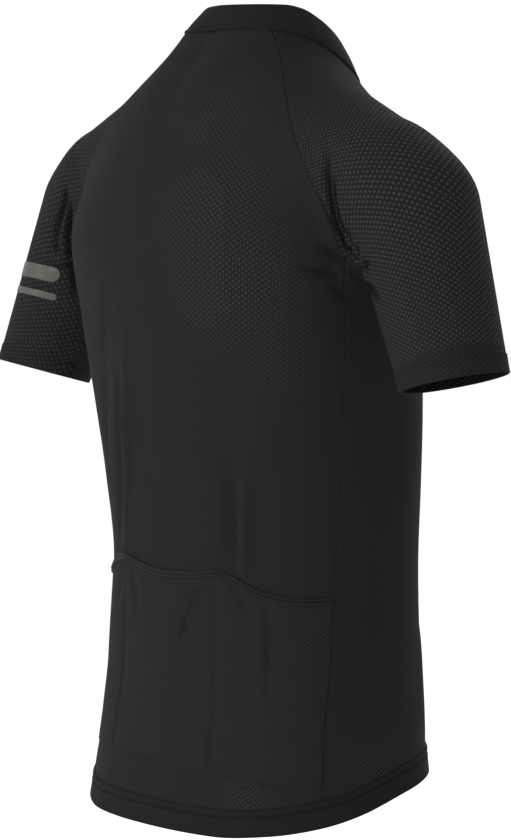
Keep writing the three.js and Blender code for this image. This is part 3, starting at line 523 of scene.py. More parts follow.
class JerseyForm:
    """The smooth worn shape that every cloth piece lies on, the same on both sides."""

    power = 2.25
    yoke = Limb((36, 16, -68.5), (197, 20, -116), 65, 46, 1.15)
    arm = Limb((238.5, 14.3, -153.5), (307, 28.5, -293.5), 56.8, 46.8)
    yoke_blend = 45
    arm_blend = 38
    ray_step = 6.0
    ray_reach = 500.0

    def __init__(self) -> None:
        """Reads the tables."""
        columns = [tuple((row[0], row[k]) for row in TORSO) for k in range(1, 5)]
        self.half, self.back, self.front, self.centre = (Curve(rows) for rows in columns)
        self.long_arm = self.arm.run_on(80)
        self.neck_height = Curve(NECK_SEAM)
        self.side_angle = Curve(SIDE_SEAM)
        self.hem_height = Curve(HEM)
        self.collar_height = Curve(COLLAR_TOP_EDGE)
        self.pocket_mouth = Curve(POCKET_MOUTH)
        self.pocket_foot = Curve(POCKET_FOOT)

    def torso(self, x: Array, y: Array, z: Array) -> Array:
        """Distance to the torso's sections, below zero inside."""
        dy = y - self.centre(z)
        depth = np.where(dy > 0, self.back(z), self.front(z))
        share = (np.abs(x) / self.half(z)) ** self.power + (np.abs(dy) / depth) ** self.power
        r = np.hypot(x, dy)
        return r - r / (share ** (1 / self.power) + 1e-9)

    def distance(self, p: Array) -> Array:
        """Distance of points to the form, below zero inside."""
        q = p * 1.0
        q[..., 0] = np.abs(q[..., 0])
        body = blend(self.torso(q[..., 0], q[..., 1], q[..., 2]), self.yoke.distance(q), self.yoke_blend)
        return blend(body, self.long_arm.distance(q), self.arm_blend)

    def normal(self, p: Array, step: float = 0.5) -> Array:
        """Outward directions of the form at points."""
        slopes = []
        for axis in range(3):
            move = np.zeros(3)
            move[axis] = step
            slopes.append(self.distance(p + move) - self.distance(p - move))
        way = np.stack(slopes, axis=-1)
        return way / np.linalg.norm(way, axis=-1, keepdims=True)

    def cast(self, origin: Array, way: Array) -> Array:
        """First points where rays from inside leave the form.

        Args:
            origin: Starts of the rays.
            way: Their directions.

        Returns:
            Points on the form.
        """
        origin, way = np.broadcast_arrays(np.asarray(origin, float), np.asarray(way, float))
        way = way / np.linalg.norm(way, axis=-1, keepdims=True)
        high = np.full(way.shape[:-1], self.ray_step)
        inside = np.ones_like(high, bool)
        while inside.any() and high.max() < self.ray_reach:
            inside = self.distance(origin + way * high[..., None]) < 0
            high = np.where(inside, high + self.ray_step, high)
        low = high - self.ray_step
        for _ in range(18):
            middle = (low + high) / 2
            within = self.distance(origin + way * middle[..., None]) < 0
            low, high = np.where(within, middle, low), np.where(within, high, middle)
        return origin + way * ((low + high) / 2)[..., None]

    def settle(self, p: Array) -> Array:
        """Moves points along the form's slope onto it."""
        q = np.array(p, float)
        for _ in range(12):
            q = q - self.normal(q) * self.distance(q)[..., None]
        return q

    def on_torso(self, angle: Array, z: Array) -> Array:
        """Points of the torso at angles from the back centre and at heights."""
        a, z = np.broadcast_arrays(np.radians(angle), np.asarray(z, float))
        depth = np.where(np.cos(a) > 0, self.back(z), self.front(z))
        origin = np.stack([np.zeros_like(z), self.centre(z), z], axis=-1)
        way = np.stack([self.half(z) * np.sin(a), depth * np.cos(a), np.zeros_like(z)], axis=-1)
        return self.cast(origin, way)

    def torso_angle(self, p: Array) -> Array:
        """Angles of points round the torso from the back centre."""
        z = p[..., 2]
        dy = p[..., 1] - self.centre(z)
        depth = np.where(dy > 0, self.back(z), self.front(z))
        return np.degrees(np.arctan2(p[..., 0] / self.half(z), dy / depth))

    def on_front(self, x: Array, z: Array) -> Array:
        """Front points of the torso at distances from the middle and at heights."""
        x, z = np.broadcast_arrays(np.asarray(x, float), np.asarray(z, float))
        return self.cast(np.stack([x, self.centre(z), z], axis=-1), np.array([0.0, -1.0, 0.0]))

    def on_neck(self, angle: Array) -> Array:
        """Points of the neck seam."""
        a = np.radians(np.asarray(angle, float))
        zero = np.zeros_like(a)
        origin = np.stack([zero, zero, self.neck_height(np.degrees(a))], axis=-1)
        return self.cast(origin, np.stack([np.sin(a), np.cos(a), zero], axis=-1))

    def neck_angle_at(self, x: float) -> float:
        """Neck angle whose point lies at a distance from the front middle."""
        angle = 178.0
        for _ in range(8):
            angle = 180 - math.degrees(math.atan2(x, -float(self.on_neck(np.array(angle))[1])))
        return angle


FORM = JerseyForm()
BAND_HEIGHT = 24.0
FRONT_EDGE_X = 6.0
TAPE_EDGE_X = 12.0
RAGLAN_BACK_ANGLE = 61.0
RAGLAN_FRONT_ANGLE = 130.0
COLUMN_EASE = 0.6
MOUTH_LEVEL = -480.0
FRONT_MIDDLE_ANGLE = 178.0
SIDE_FOOT_ANGLE = float(FORM.side_angle(-668.0))
DIVIDER_ANGLE = 24.5


def band_top(angle: Array | float) -> Array:
    """Height where the hem band is sewn on."""
    return FORM.hem_height(np.abs(angle)) + BAND_HEIGHT


class SeamPlan:
    """The seams of one half of the garment, on the form and at +X."""

    raglan_back = ((84, 42, -12), (108, 56, -36), (149, 77, -84), (176, 79, -128), (190, 70, -166), (190, 52, -197))
    underarm = ((196, 34, -207), (200, 12, -210))
    raglan_front = ((197, -10, -206), (189, -34, -188), (176, -52, -156), (150, -64, -118), (108, -66, -82))

    def __init__(self, fine: int) -> None:
        """Lays out the seams; fine is how many steps take the place of one of the frame's."""
        self.fine = fine
        self.neck_back = FORM.on_neck(np.linspace(0, RAGLAN_BACK_ANGLE, 4 * fine + 1))
        self.neck_sleeve = FORM.on_neck(np.linspace(RAGLAN_BACK_ANGLE, RAGLAN_FRONT_ANGLE, 4 * fine + 1))
        edge_angle = FORM.neck_angle_at(FRONT_EDGE_X)
        self.neck_front = FORM.on_neck(np.linspace(RAGLAN_FRONT_ANGLE, edge_angle, 3 * fine + 1))
        side_top = FORM.settle(np.array(self.raglan_back[-1], float))
        under = FORM.settle(np.array(self.underarm, float))
        back = np.vstack([self.neck_back[-1], self.raglan_back[:-1], side_top])
        front = np.vstack([under[-1], self.raglan_front, self.neck_front[0]])
        self.back = self.through(back, 10 * fine)
        self.under = self.through(np.vstack([side_top, under]), 4 * fine)
        self.front = self.through(front, 9 * fine)

    @staticmethod
    def through(points: Array, steps: int) -> Array:
        """Even steps along a smooth curve through points, settled onto the form but for its ends.

        Args:
            points: Points of the curve.
            steps: Number of steps.

        Returns:
            The stepped points.
        """
        ends = (2 * points[0] - points[1], 2 * points[-1] - points[-2])
        p = np.vstack([ends[0], points, ends[1]]).astype(float)
        fine = []
        for i in range(len(points) - 1):
            a, b, c, d = p[i:i + 4]
            t0, t1, t2 = (max(np.linalg.norm(v), 1e-6) ** 0.5 for v in (b - a, c - b, d - c))
            lead = ((b - a) / t0 - (c - a) / (t0 + t1) + (c - b) / t1) * t1
            tail = ((c - b) / t1 - (d - b) / (t1 + t2) + (d - c) / t2) * t1
            s = np.linspace(0, 1, 400, endpoint=False)[:, None]
            fine.append(b + lead * s + (-3 * b + 3 * c - 2 * lead - tail) * s ** 2
                        + (2 * b - 2 * c + lead + tail) * s ** 3)
        dense = np.vstack([*fine, points[-1:]])
        run = np.concatenate([[0], np.cumsum(np.linalg.norm(np.diff(dense, axis=0), axis=1))])
        at = np.linspace(0, run[-1], steps + 1)
        even = np.stack([np.interp(at, run, dense[:, k]) for k in range(3)], axis=-1)
        even[1:-1] = FORM.settle(even[1:-1])
        return even


# Folds


@dataclass(frozen=True)
class Fold:
    """A soft ridge or trough along a few points near the form, in millimetres."""

    name: str
    line: tuple[tuple[float, float, float], ...]
    width: float
    depth: float
    fade: float = 0.6

    def push(self, p: Array, normal: Array) -> Array:
        """How far the fold moves points out, or in where it is below zero."""
        knots = np.array(self.line, float)
        legs = np.linalg.norm(np.diff(knots, axis=0), axis=1)
        before = np.concatenate([[0], np.cumsum(legs)])
        pushed = np.zeros(p.shape[:-1])
        middle = knots.mean(0)
        near_by = np.linalg.norm(p - middle, axis=-1) < np.linalg.norm(knots - middle, axis=1).max() + 3 * self.width
        if not near_by.any():
            return pushed
        q, out = p[near_by], normal[near_by]
        closest = np.full(len(q), 1e9)
        along = np.zeros(len(q))
        for k, leg in enumerate(legs):
            way = (knots[k + 1] - knots[k]) / leg
            t = np.clip((q - knots[k]) @ way, 0, leg)
            off = q - (knots[k] + t[:, None] * way)
            off -= out * (off * out).sum(-1, keepdims=True) * 0.9
            away = np.linalg.norm(off, axis=-1)
            along = np.where(away < closest, before[k] + t, along)
            closest = np.minimum(closest, away)
        ends = np.sin(np.pi * np.clip(along / before[-1], 0, 1)) ** self.fade
        pushed[near_by] = self.depth * ends * np.exp(-(closest / self.width) ** 2)
        return pushed


FOLDS = (
    # long soft folds of the back
    Fold("back_trough", ((-97, 105, -365), (-88, 101, -425), (-84, 98, -485)), 10, -5.5),
    Fold("back_ridge", ((-108, 99, -385), (-103, 94, -430), (-98, 92, -480)), 8, 4.9),
    Fold("left_back_valley", ((42, 140, -225), (58, 130, -275), (78, 118, -330), (100, 102, -385)), 7, -3.1),
    Fold("left_back_ridge", ((16, 138, -250), (28, 130, -295), (40, 124, -342), (55, 112, -410), (72, 103, -470)), 5.5, 3.2),
    Fold("left_back_hollow", ((30, 132, -290), (54, 122, -345), (70, 112, -410), (88, 100, -465)), 6, -3.5),
    Fold("left_back_fine", ((44, 144, -212), (40, 140, -240), (37, 137, -270)), 4, -1.3),
    Fold("upper_back_fill", ((8, 73, -12), (0, 88, -40), (-12, 104, -66)), 17.6, 2.1),
    Fold("waist_sag", ((-20, 112, -400), (-26, 106, -465)), 26, -1.4),
    # creases that run from the raglan seams round towards the underarms
    Fold("right_crease_a", ((-190, 76, -98), (-193, 74, -138), (-194, 67, -165), (-197, 54, -188), (-206, 42, -206),
                            (-232, 58, -216), (-262, 72, -224)), 4.7, -5.4),
    Fold("right_ridge_a", ((-184, 78, -106), (-186, 76, -136), (-188, 70, -160), (-191, 60, -182)), 5, 2.8),
    Fold("right_crease_b", ((-201, 75, -120), (-202, 73, -143), (-203, 65, -172), (-221, 62, -193), (-244, 69, -205)), 4.2,
         -4.4),
    Fold("right_ridge_b", ((-197, 76, -120), (-198, 72, -146), (-199, 64, -172), (-212, 56, -196), (-240, 66, -212)), 4,
         2.5),
    Fold("right_outer_swell", ((-210, 76, -126), (-212, 74, -152), (-222, 70, -178), (-246, 74, -194)), 8, 2.3),
    Fold("right_underarm_tuck", ((-198, 52, -190), (-203, 40, -206), (-203, 26, -214)), 6, -4.5),
    Fold("left_underarm_tuck", ((200, 52, -192), (204, 40, -207), (204, 26, -215)), 6, -4),
    Fold("left_crease_a", ((206, 76, -128), (213, 75, -146), (225, 72, -162), (232, 70, -174), (236, 68, -196)), 4.7,
         -4.8),
    Fold("left_crease_b", ((200, 74, -138), (208, 72, -158), (220, 67, -178), (220, 60, -197), (230, 48, -240)), 4.7, -4.8),
    Fold("left_ridge_a", ((208, 75, -140), (218, 71, -160), (227, 68, -178), (230, 62, -205)), 5, 2.5),
    Fold("left_ridge_b", ((196, 73, -146), (204, 68, -170), (212, 58, -194), (218, 50, -224)), 5, 2.3),
    Fold("right_front_armhole_crease", ((-160, -68, -120), (-182, -50, -158), (-196, -26, -190)), 8, -3.2),
    Fold("right_front_armhole_ridge", ((-172, -66, -122), (-194, -50, -158), (-208, -28, -188)), 8, 2.4),
    Fold("left_front_armhole_crease", ((162, -68, -118), (184, -50, -156), (198, -26, -190)), 8, -3.0),
    Fold("left_front_armhole_ridge", ((174, -66, -124), (196, -50, -160), (210, -28, -188)), 8, 2.2),
    # flanks and front
    Fold("right_flank_trough", ((-166, -10, -330), (-158, -22, -430)), 16, -3.0),
    Fold("left_flank_trough", ((168, 4, -320), (160, -16, -440)), 15, -3.2),
    Fold("right_front_trough", ((-92, -112, -300), (-84, -116, -470)), 20, -3.2),
    Fold("left_front_trough", ((86, -114, -290), (96, -108, -450)), 19, -2.8),
    Fold("right_front_ridge", ((-60, -124, -330), (-52, -124, -500)), 17, 2.4),
    Fold("left_hip_ridge", ((120, -88, -520), (132, -84, -628)), 18, 2.6),
    Fold("right_hip_ridge", ((-124, -86, -530), (-136, -80, -630)), 18, 2.4),
)

FINE_FOLDS = (
    # sharp creases and pleats beside the raglan seams
    Fold("right_sharp_a", ((-193, 75, -108), (-194, 74, -138), (-194, 67, -165), (-196, 56, -184), (-200, 42, -202)), 2.2,
         -4.4),
    Fold("right_sharp_b", ((-201, 75, -122), (-202, 73, -143), (-202, 68, -163), (-205, 61, -180)), 2, -3.4),
    Fold("right_sharp_c", ((-181, 77, -126), (-186, 71, -154), (-193, 64, -174)), 2.3, -3.4),
    Fold("left_sharp_a", ((209, 76, -134), (216, 74, -150), (226, 71, -166)), 2.2, -3.1),
    Fold("left_sharp_b", ((203, 73, -148), (213, 69, -165), (220, 65, -184)), 2.2, -3.6),
    Fold("right_front_sleeve_crease", ((-178, -62, -130), (-204, -28, -194)), 3.0, -1.9),
    Fold("left_front_sleeve_crease", ((180, -62, -132), (206, -28, -196)), 3.0, -1.7),
    # gathers that fan out from the underarms
    Fold("right_gather_a", ((-222, 70, -166), (-212, 62, -178), (-200, 52, -192)), 2.7, -3),
    Fold("right_gather_b", ((-233, 69, -180), (-216, 60, -190), (-200, 46, -200)), 2.7, -3.2),
    Fold("right_gather_c", ((-252, 71, -196), (-224, 60, -201), (-200, 42, -204)), 2.7, -3.2),
    Fold("right_gather_d", ((-264, 72, -210), (-230, 58, -210), (-200, 38, -206)), 2.7, 2.6),
    Fold("right_gather_e", ((-268, 72, -230), (-232, 56, -220), (-202, 34, -210)), 3, -2.8),
    Fold("right_gather_f", ((-242, 70, -190), (-220, 61, -196), (-201, 44, -202)), 2.5, 2.4),
    Fold("left_gather_a", ((240, 68, -186), (222, 60, -194), (204, 46, -202)), 2.8, -2.6),
    Fold("left_gather_b", ((248, 68, -206), (226, 58, -206), (204, 40, -206)), 3, -2.8),
    Fold("left_gather_c", ((246, 68, -196), (224, 59, -200), (204, 43, -204)), 2.7, 2.2),
    Fold("right_side_pull_a", ((-175, 72, -182), (-182, 60, -191), (-190, 47, -198)), 3.4, -2),
    Fold("right_side_pull_b", ((-166, 86, -201), (-176, 68, -206), (-186, 46, -210)), 3.6, -2.2),
    Fold("right_side_pull_c", ((-180, 57, -202), (-185, 44, -210), (-188, 30, -218)), 3.4, 1.8),
    Fold("right_side_pull_d", ((-172, 60, -216), (-180, 46, -226), (-184, 34, -236)), 4, -1.8),
    Fold("left_side_pull_a", ((176, 72, -184), (184, 58, -194), (191, 46, -202)), 3.6, 1.8),
    Fold("left_side_pull_b", ((166, 84, -206), (178, 64, -211), (188, 44, -214)), 3.8, -2),
    # thin upright creases of the back and the flanks
    Fold("left_back_line_a", ((46, 132, -300), (60, 122, -345), (74, 112, -400)), 2.6, 1.3),
    Fold("left_back_line_b", ((112, 90, -225), (118, 84, -300), (120, 78, -370)), 3, -1.3),
    Fold("back_middle_line", ((14, 128, -250), (8, 113, -420)), 9, -0.7),
    Fold("right_back_line", ((-94, 103, -392), (-90, 100, -432), (-87, 97, -478)), 3, -1.6),
    Fold("right_back_light", ((-103, 95, -418), (-100, 92, -446), (-97, 91, -470)), 2.8, 1.4),
    Fold("right_back_soft", ((-120, 92, -300), (-130, 70, -420)), 13, 1.2),
    Fold("right_flank_line", ((-168, 20, -430), (-172, 30, -560)), 9, -1.2),
    Fold("right_hip_soft", ((-165, 12, -560), (-176, 14, -650)), 13, 1.4),
    Fold("left_flank_line", ((166, 26, -440), (172, 30, -580)), 9, -1.2),
    Fold("right_front_line", ((-30, -126, -180), (-26, -126, -330)), 8, -0.9),
    Fold("left_front_line", ((34, -124, -200), (28, -126, -350)), 8, -0.9),
)

POCKET_FOLDS = (
    # drags that fall away from the tops of the pocket's upright seams
    Fold("right_drag_inner", ((-60, 106, -486), (-46, 109, -504), (-24, 110, -540)), 5, -2.6),
    Fold("right_drag_ridge", ((-50, 107, -482), (-28, 110, -500), (-4, 112, -520)), 4.5, 2.1),
    Fold("right_drag_outer", ((-84, 98, -478), (-98, 93, -498), (-112, 87, -522)), 4.5, -2.4),
    Fold("right_drag_swell", ((-96, 94, -484), (-106, 90, -506), (-118, 85, -536)), 4.5, 1.9),
    Fold("left_drag_inner", ((58, 112, -474), (38, 118, -520)), 6, -1.9),
    Fold("left_drag_outer", ((72, 108, -474), (90, 102, -520)), 6, -1.9),
    Fold("right_pocket_line", ((-117, 82, -492), (-120, 83, -535), (-122, 84, -590)), 3, -1.6),
    Fold("middle_pocket_belly", ((-4, 118, -520), (-8, 120, -630)), 26, 1.2),
    # the foot is pressed flat along its seam
    Fold("right_foot_crease", ((-128, 84, -655), (-90, 98, -659), (-52, 106, -662)), 3, -1.4),
    Fold("middle_foot_crease", ((-56, 108, -661), (-20, 112, -656), (24, 112, -652)), 3, -1),
)


def pocket_line(name: str, angle: Array, z: Array) -> Fold:
    """A stitched line that is pressed into the pocket panel, at angles and heights of the form."""
    return Fold(name, tuple(map(tuple, FORM.on_torso(angle, z))), 2.0, -1.5, 0.15)


FOOT_ANGLES = np.linspace(-60, 60, 9)
POCKET_SEAMS = (
    pocket_line("right_divider", np.full(5, -DIVIDER_ANGLE), np.linspace(-478, -656, 5)),
    pocket_line("left_divider", np.full(5, DIVIDER_ANGLE), np.linspace(-474, -653, 5)),
    pocket_line("foot_line", FOOT_ANGLES, FORM.pocket_foot(FOOT_ANGLES) + 2),
)


# Grids of cloth


@dataclass
class Grid:
    """Points of a cloth piece in rows and columns, with their outward directions."""

    points: Array
    normals: Array

    def raised(self, by: Array | float) -> "Grid":
        """The same grid moved out."""
        return Grid(self.points + self.normals * np.asarray(by, float)[..., None], self.normals)

    def rows(self, start: int, stop: int) -> "Grid":
        """Some of the rows."""
        return Grid(self.points[start:stop], self.normals[start:stop])

    def turned(self, edge: Edge) -> "Grid":
        """The grid with the given edge as its first row; turning twice gives it back."""
        def turn(a: Array) -> Array:
            """Turns one array."""
            if edge is Edge.TOP:
                return a
            if edge is Edge.BOTTOM:
                return a[::-1]
            if edge is Edge.FIRST:
                return a.transpose(1, 0, 2)
            return a[::-1, ::-1].transpose(1, 0, 2)
        return Grid(turn(self.points), turn(self.normals))


def lay_cloth(points: Array, side: Side, folds: Sequence[Fold]) -> Grid:
    """Lays points of the form on one side of the body and folds them.

    Args:
        points: Points on the form at +X, in rows and columns.
        side: The wearer's side.
        folds: Folds that push the cloth.

    Returns:
        The laid grid.
    """
    normals = FORM.normal(points)
    mirror = np.array([side.value, 1, 1])
    points, normals = points * mirror, normals * mirror
    return Grid(points + normals * sum(fold.push(points, normals) for fold in folds)[..., None], normals)


def join_halves(right: Grid, left: Grid) -> Grid:
    """One grid across both halves of the body, from the right side to the left."""
    points = np.concatenate([right.points[:, ::-1], left.points[:, 1:]], axis=1)
    return Grid(points, np.concatenate([right.normals[:, ::-1], left.normals[:, 1:]], axis=1))


def grid_through(points: Array) -> Grid:
    """Grid with outward directions worked out from its own points."""
    up = np.gradient(points, axis=0)
    across = np.gradient(points, axis=1)
    normal = np.cross(up, across)
    normal /= np.linalg.norm(normal, axis=-1, keepdims=True)
    outward = (normal[..., :2] * points[..., :2]).sum(-1, keepdims=True) < 0
    return Grid(points, np.where(outward, -normal, normal))


@dataclass(frozen=True)
class Seam:
    """How an edge is sewn: it dips into a groove and turns in as the seam's allowance, past the line."""

    groove: float = 0.45
    width: float = 1.1
    near: tuple[float, ...] = (0.0, 0.5, 1.0, 1.7, 2.8)
    turned: tuple[float, ...] = (0.8, 2.8)
    past: float = 0.3

    def sew(self, grid: Grid, edge: Edge) -> Grid:
        """Adds the seam to one edge of a grid.

        Args:
            grid: Grid of cloth.
            edge: Edge that is sewn.

        Returns:
            Grid with close rows beside the seam and the allowance beyond them.
        """
        g = grid.turned(edge)
        steps = np.linalg.norm(np.diff(g.points, axis=0), axis=2)
        run = np.vstack([np.zeros(steps.shape[1]), np.cumsum(steps, axis=0)])
        near = np.array(self.near)
        later = near[-1] + (run[-1] - near[-1]) * run / run[-1]
        at = np.vstack([np.repeat(near[:-1, None], run.shape[1], axis=1), later])
        both = np.concatenate([g.points, g.normals], axis=2)
        fresh = np.empty((len(at), both.shape[1], 6))
        for i in range(both.shape[1]):
            for k in range(6):
                fresh[:, i, k] = np.interp(at[:, i], run[:, i], both[:, i, k])
        points, normals = fresh[..., :3], fresh[..., 3:]
        points = points - normals * (self.groove * np.exp(-(at / self.width) ** 2))[..., None]
        beyond = points[0] - points[2]
        beyond *= self.past / np.linalg.norm(beyond, axis=-1, keepdims=True)
        allowance = [points[0] + beyond - normals[0] * depth for depth in reversed(self.turned)]
        points = np.concatenate([np.array(allowance), points])
        normals = np.concatenate([np.repeat(normals[:1], len(allowance), axis=0), normals])
        return Grid(points, normals).turned(edge)


SEAM = Seam()
RAGLAN = Seam(groove=0.7, width=1.3)
FOLD_STEPS = 9
OPEN_EDGE = Seam(groove=0.35, width=1.0, near=(0.1, 0.4, 0.9, 1.6), turned=(0.5, 1.1), past=0.0)


def fold_over(grid: Grid, outer: Array, inner: float) -> Grid:
    """Doubles a band over its folded edge, which is the grid's last row.

    Args:
        grid: Grid of the band, by rows from its seam to the fold.
        outer: How far out each row's outer face stands.
        inner: How far in the inner face stands, as a number below zero.

    Returns:
        Grid that runs along the outer face, round the fold and back along the inner face.
    """
    points, normals = grid.points, grid.normals
    radius = (outer[-1] - inner) / 2
    middle = (outer[-1] + inner) / 2
    way = points[-1] - points[-2]
    way /= np.linalg.norm(way, axis=-1, keepdims=True)
    seat = points[-1] - way * radius
    face = points + normals * outer[:, None, None]
    back = points + normals * inner
    face[-1] = seat + normals[-1] * outer[-1]
    back[-1] = seat + normals[-1] * inner
    turns = np.radians(np.linspace(0, 180, FOLD_STEPS))[1:-1]
    bend = [seat + normals[-1] * (middle + radius * math.cos(a)) + way * (radius * math.sin(a)) for a in turns]
    bend_normals = [normals[-1] * math.cos(a) + way * math.sin(a) for a in turns]
    joined = np.concatenate([face, np.array(bend), back[::-1]])
    faced = np.concatenate([normals, np.array(bend_normals), -normals[::-1]])
    return Grid(joined, faced)


# Meshes


def cloth_mesh(name: str, grid: Grid) -> bpy.types.Object:
    """Makes a mesh object of a grid, with its faces looking outwards.

    Args:
        name: Name of the piece.
        grid: Its points.

    Returns:
        The object, at the origin.
    """
    rows, columns = grid.points.shape[:2]
    bm = bmesh.new()
    bmesh.ops.create_grid(bm, x_segments=columns - 1, y_segments=rows - 1, size=0.5)
    rise = np.cross(grid.points[:-1, 1:] - grid.points[:-1, :-1], grid.points[1:, :-1] - grid.points[:-1, :-1])
    if (rise * grid.normals[:-1, :-1]).sum() < 0:
        bmesh.ops.reverse_faces(bm, faces=bm.faces)
    piece = finished(name, bm)
    piece.data.vertices.foreach_set("co", (grid.points * MM).ravel())
    piece.data.update()
    return piece


def finished(name: str, bm: bmesh.types.BMesh) -> bpy.types.Object:
    """Turns a bmesh into a smooth-shaded object at the origin."""
    mesh = bpy.data.meshes.new(name)
    bm.to_mesh(mesh)
    bm.free()
    mesh.shade_smooth()
    piece = bpy.data.objects.new(name, mesh)
    bpy.context.scene.collection.objects.link(piece)
    return piece


def places(piece: bpy.types.Object) -> Array:
    """Points of a piece's mesh, in metres."""
    flat = np.empty(3 * len(piece.data.vertices))
    piece.data.vertices.foreach_get("co", flat)
    return flat.reshape(-1, 3)


def area_of(piece: bpy.types.Object) -> float:
    """Area of a piece's faces in square metres."""
    areas = np.empty(len(piece.data.polygons))
    piece.data.polygons.foreach_get("area", areas)
    return float(areas.sum())


def cut_by_lengths(piece: bpy.types.Object, grid: Grid) -> tuple[float, float]:
    """Gives a strip its flat cut from its own lengths.

    Args:
        piece: The strip's object.
        grid: The grid it was made from.

    Returns:
        Width and length of the cut in metres.
    """
    p = grid.points * MM
    across = np.linalg.norm(np.diff(p, axis=1), axis=2).mean(axis=0)
    down = np.linalg.norm(np.diff(p, axis=0), axis=2).mean(axis=1)
    u = np.concatenate([[0], np.cumsum(across)])
    v = -np.concatenate([[0], np.cumsum(down)])
    wide, high = np.meshgrid(u, v)
    write_cut(piece, np.stack([wide.ravel(), high.ravel()], axis=1))
    return float(u[-1]), float(-v[-1])


def write_cut(piece: bpy.types.Object, flat: Array) -> None:
    """Stores each point's place on the flat cut as the piece's UV map."""
    mesh = piece.data
    layer = mesh.uv_layers.get("cut") or mesh.uv_layers.new(name="cut")
    corners = np.empty(len(mesh.loops), np.int32)
    mesh.loops.foreach_get("vertex_index", corners)
    layer.data.foreach_set("uv", flat[corners].astype(np.float32).ravel())


def cut_by_flattening(piece: bpy.types.Object, upright: Array) -> tuple[float, float]:
    """Flattens a panel as a pattern maker would, in real size, with its grain upright.

    Args:
        piece: The panel's object.
        upright: For each point, how far up the panel it lies.

    Returns:
        Width and length of the cut in metres.
    """
    mesh = piece.data
    mesh.uv_layers.new(name="cut")
    bpy.context.view_layer.objects.active = piece
    piece.select_set(True)
    bpy.ops.object.mode_set(mode="EDIT")
    bpy.ops.mesh.select_all(action="SELECT")
    bpy.ops.uv.unwrap(method="CONFORMAL", margin=0.0)
    bpy.ops.object.mode_set(mode="OBJECT")
    piece.select_set(False)
    flat, corners = read_cut(piece)
    flat *= math.sqrt(area_of(piece) / flat_area(flat[corners].reshape(-1, 4, 2)))
    centred = flat - flat.mean(0)
    grain, *_ = np.linalg.lstsq(centred, upright - upright.mean(), rcond=None)
    grain /= np.linalg.norm(grain)
    across = np.array([grain[1], -grain[0]])
    turned = np.stack([centred @ across, centred @ grain], axis=1)
    write_cut(piece, turned)
    return tuple(float(v) for v in np.ptp(turned, axis=0))


def read_cut(piece: bpy.types.Object) -> tuple[Array, Array]:
    """Each point's place on the piece's flat cut, and the points that its face corners use."""
    mesh = piece.data
    uv = np.empty(2 * len(mesh.loops))
    mesh.uv_layers["cut"].data.foreach_get("uv", uv)
    corners = np.empty(len(mesh.loops), np.int32)
    mesh.loops.foreach_get("vertex_index", corners)
    flat = np.zeros((len(mesh.vertices), 2))
    flat[corners] = uv.reshape(-1, 2)
    return flat, corners


def cut_like(piece: bpy.types.Object, twin: bpy.types.Object) -> tuple[float, float]:
    """Gives a panel the flat cut of the panel on the other side, turned over."""
    flat = read_cut(twin)[0] * (-1, 1)
    write_cut(piece, flat)
    return tuple(float(v) for v in np.ptp(flat, axis=0))


def flat_area(quads: Array) -> float:
    """Whole area of flat four-cornered faces."""
    one, two = quads[:, 2] - quads[:, 0], quads[:, 3] - quads[:, 1]
    return 0.5 * abs(float((one[:, 0] * two[:, 1] - one[:, 1] * two[:, 0]).sum()))


@dataclass(frozen=True)
class MeshZone:
    """A soft round zone where the knit is open."""

    centre: tuple[float, float, float]
    radius: float
    share: float


# Where the knit opens: the shoulder blades, the hips, and above the hem band. The shares are highest where the light
# falls brightest, on the right shoulder blade, so the cells' lighter colour there is partly painted highlight.
OPEN_ZONES = (
    MeshZone((-96, 116, -150), 58, 0.95), MeshZone((-112, 110, -212), 62, 1.0), MeshZone((-138, 92, -270), 46, 0.5),
    MeshZone((-128, 92, -320), 34, 0.22), MeshZone((-70, 100, -80), 40, 0.7), MeshZone((-82, 88, -45), 26, 0.4),
    MeshZone((64, 126, -225), 48, 0.5), MeshZone((88, 118, -150), 52, 0.35), MeshZone((48, 126, -285), 36, 0.55),
    MeshZone((8, 134, -275), 34, 0.22), MeshZone((-168, -10, -648), 46, 0.75), MeshZone((168, -10, -648), 46, 0.75),
    MeshZone((-110, 96, -672), 26, 0.8), MeshZone((110, 96, -672), 26, 0.7), MeshZone((0, -118, -240), 90, 0.4),
    MeshZone((-110, -88, -260), 60, 0.6), MeshZone((110, -88, -260), 60, 0.6), MeshZone((-160, -60, -640), 44, 0.6),
    MeshZone((160, -60, -640), 44, 0.6),
)


def open_knit(piece: bpy.types.Object, base: float, zones: Sequence[MeshZone]) -> None:
    """Marks on each point how open the knit is there.

    Args:
        piece: Cloth object.
        base: Openness away from every zone, from 0 to 1.
        zones: Zones that open it further.
    """
    p = places(piece) / MM
    open_share = np.full(len(p), base)
    for zone in zones:
        away = np.linalg.norm(p - np.array(zone.centre), axis=1) / zone.radius
        open_share = np.maximum(open_share, zone.share * np.exp(-(away ** 3)))
    carry(piece, "openness", open_share)


def mark_painted_crease_shade(piece: bpy.types.Object, folds: Sequence[Fold]) -> None:
    """Marks on each point how deep in a sharp crease it lies, where little light gets in; the knit's material darkens
    its colour there as painted shade.
    """
    p = places(piece) / MM
    out = FORM.normal(p)
    deep = sum(fold.push(p, out) for fold in folds if fold.width < 6)
    carry(piece, "painted_crease_shade", (-deep - 0.4) / 2.6)


def carry(piece: bpy.types.Object, name: str, values: Array) -> None:
    """Stores a number from 0 to 1 on each point of a piece."""
    attribute = piece.data.attributes.new(name, "FLOAT", "POINT")
    attribute.data.foreach_set("value", np.clip(values, 0, 1).astype(np.float32))


def shell(piece: bpy.types.Object, thickness: float) -> None:
    """Gives a cloth mesh its thickness, inwards."""
    solid = piece.modifiers.new("thickness", "SOLIDIFY")
    solid.thickness = thickness * MM
    solid.offset = -1.0
    solid.use_rim = True


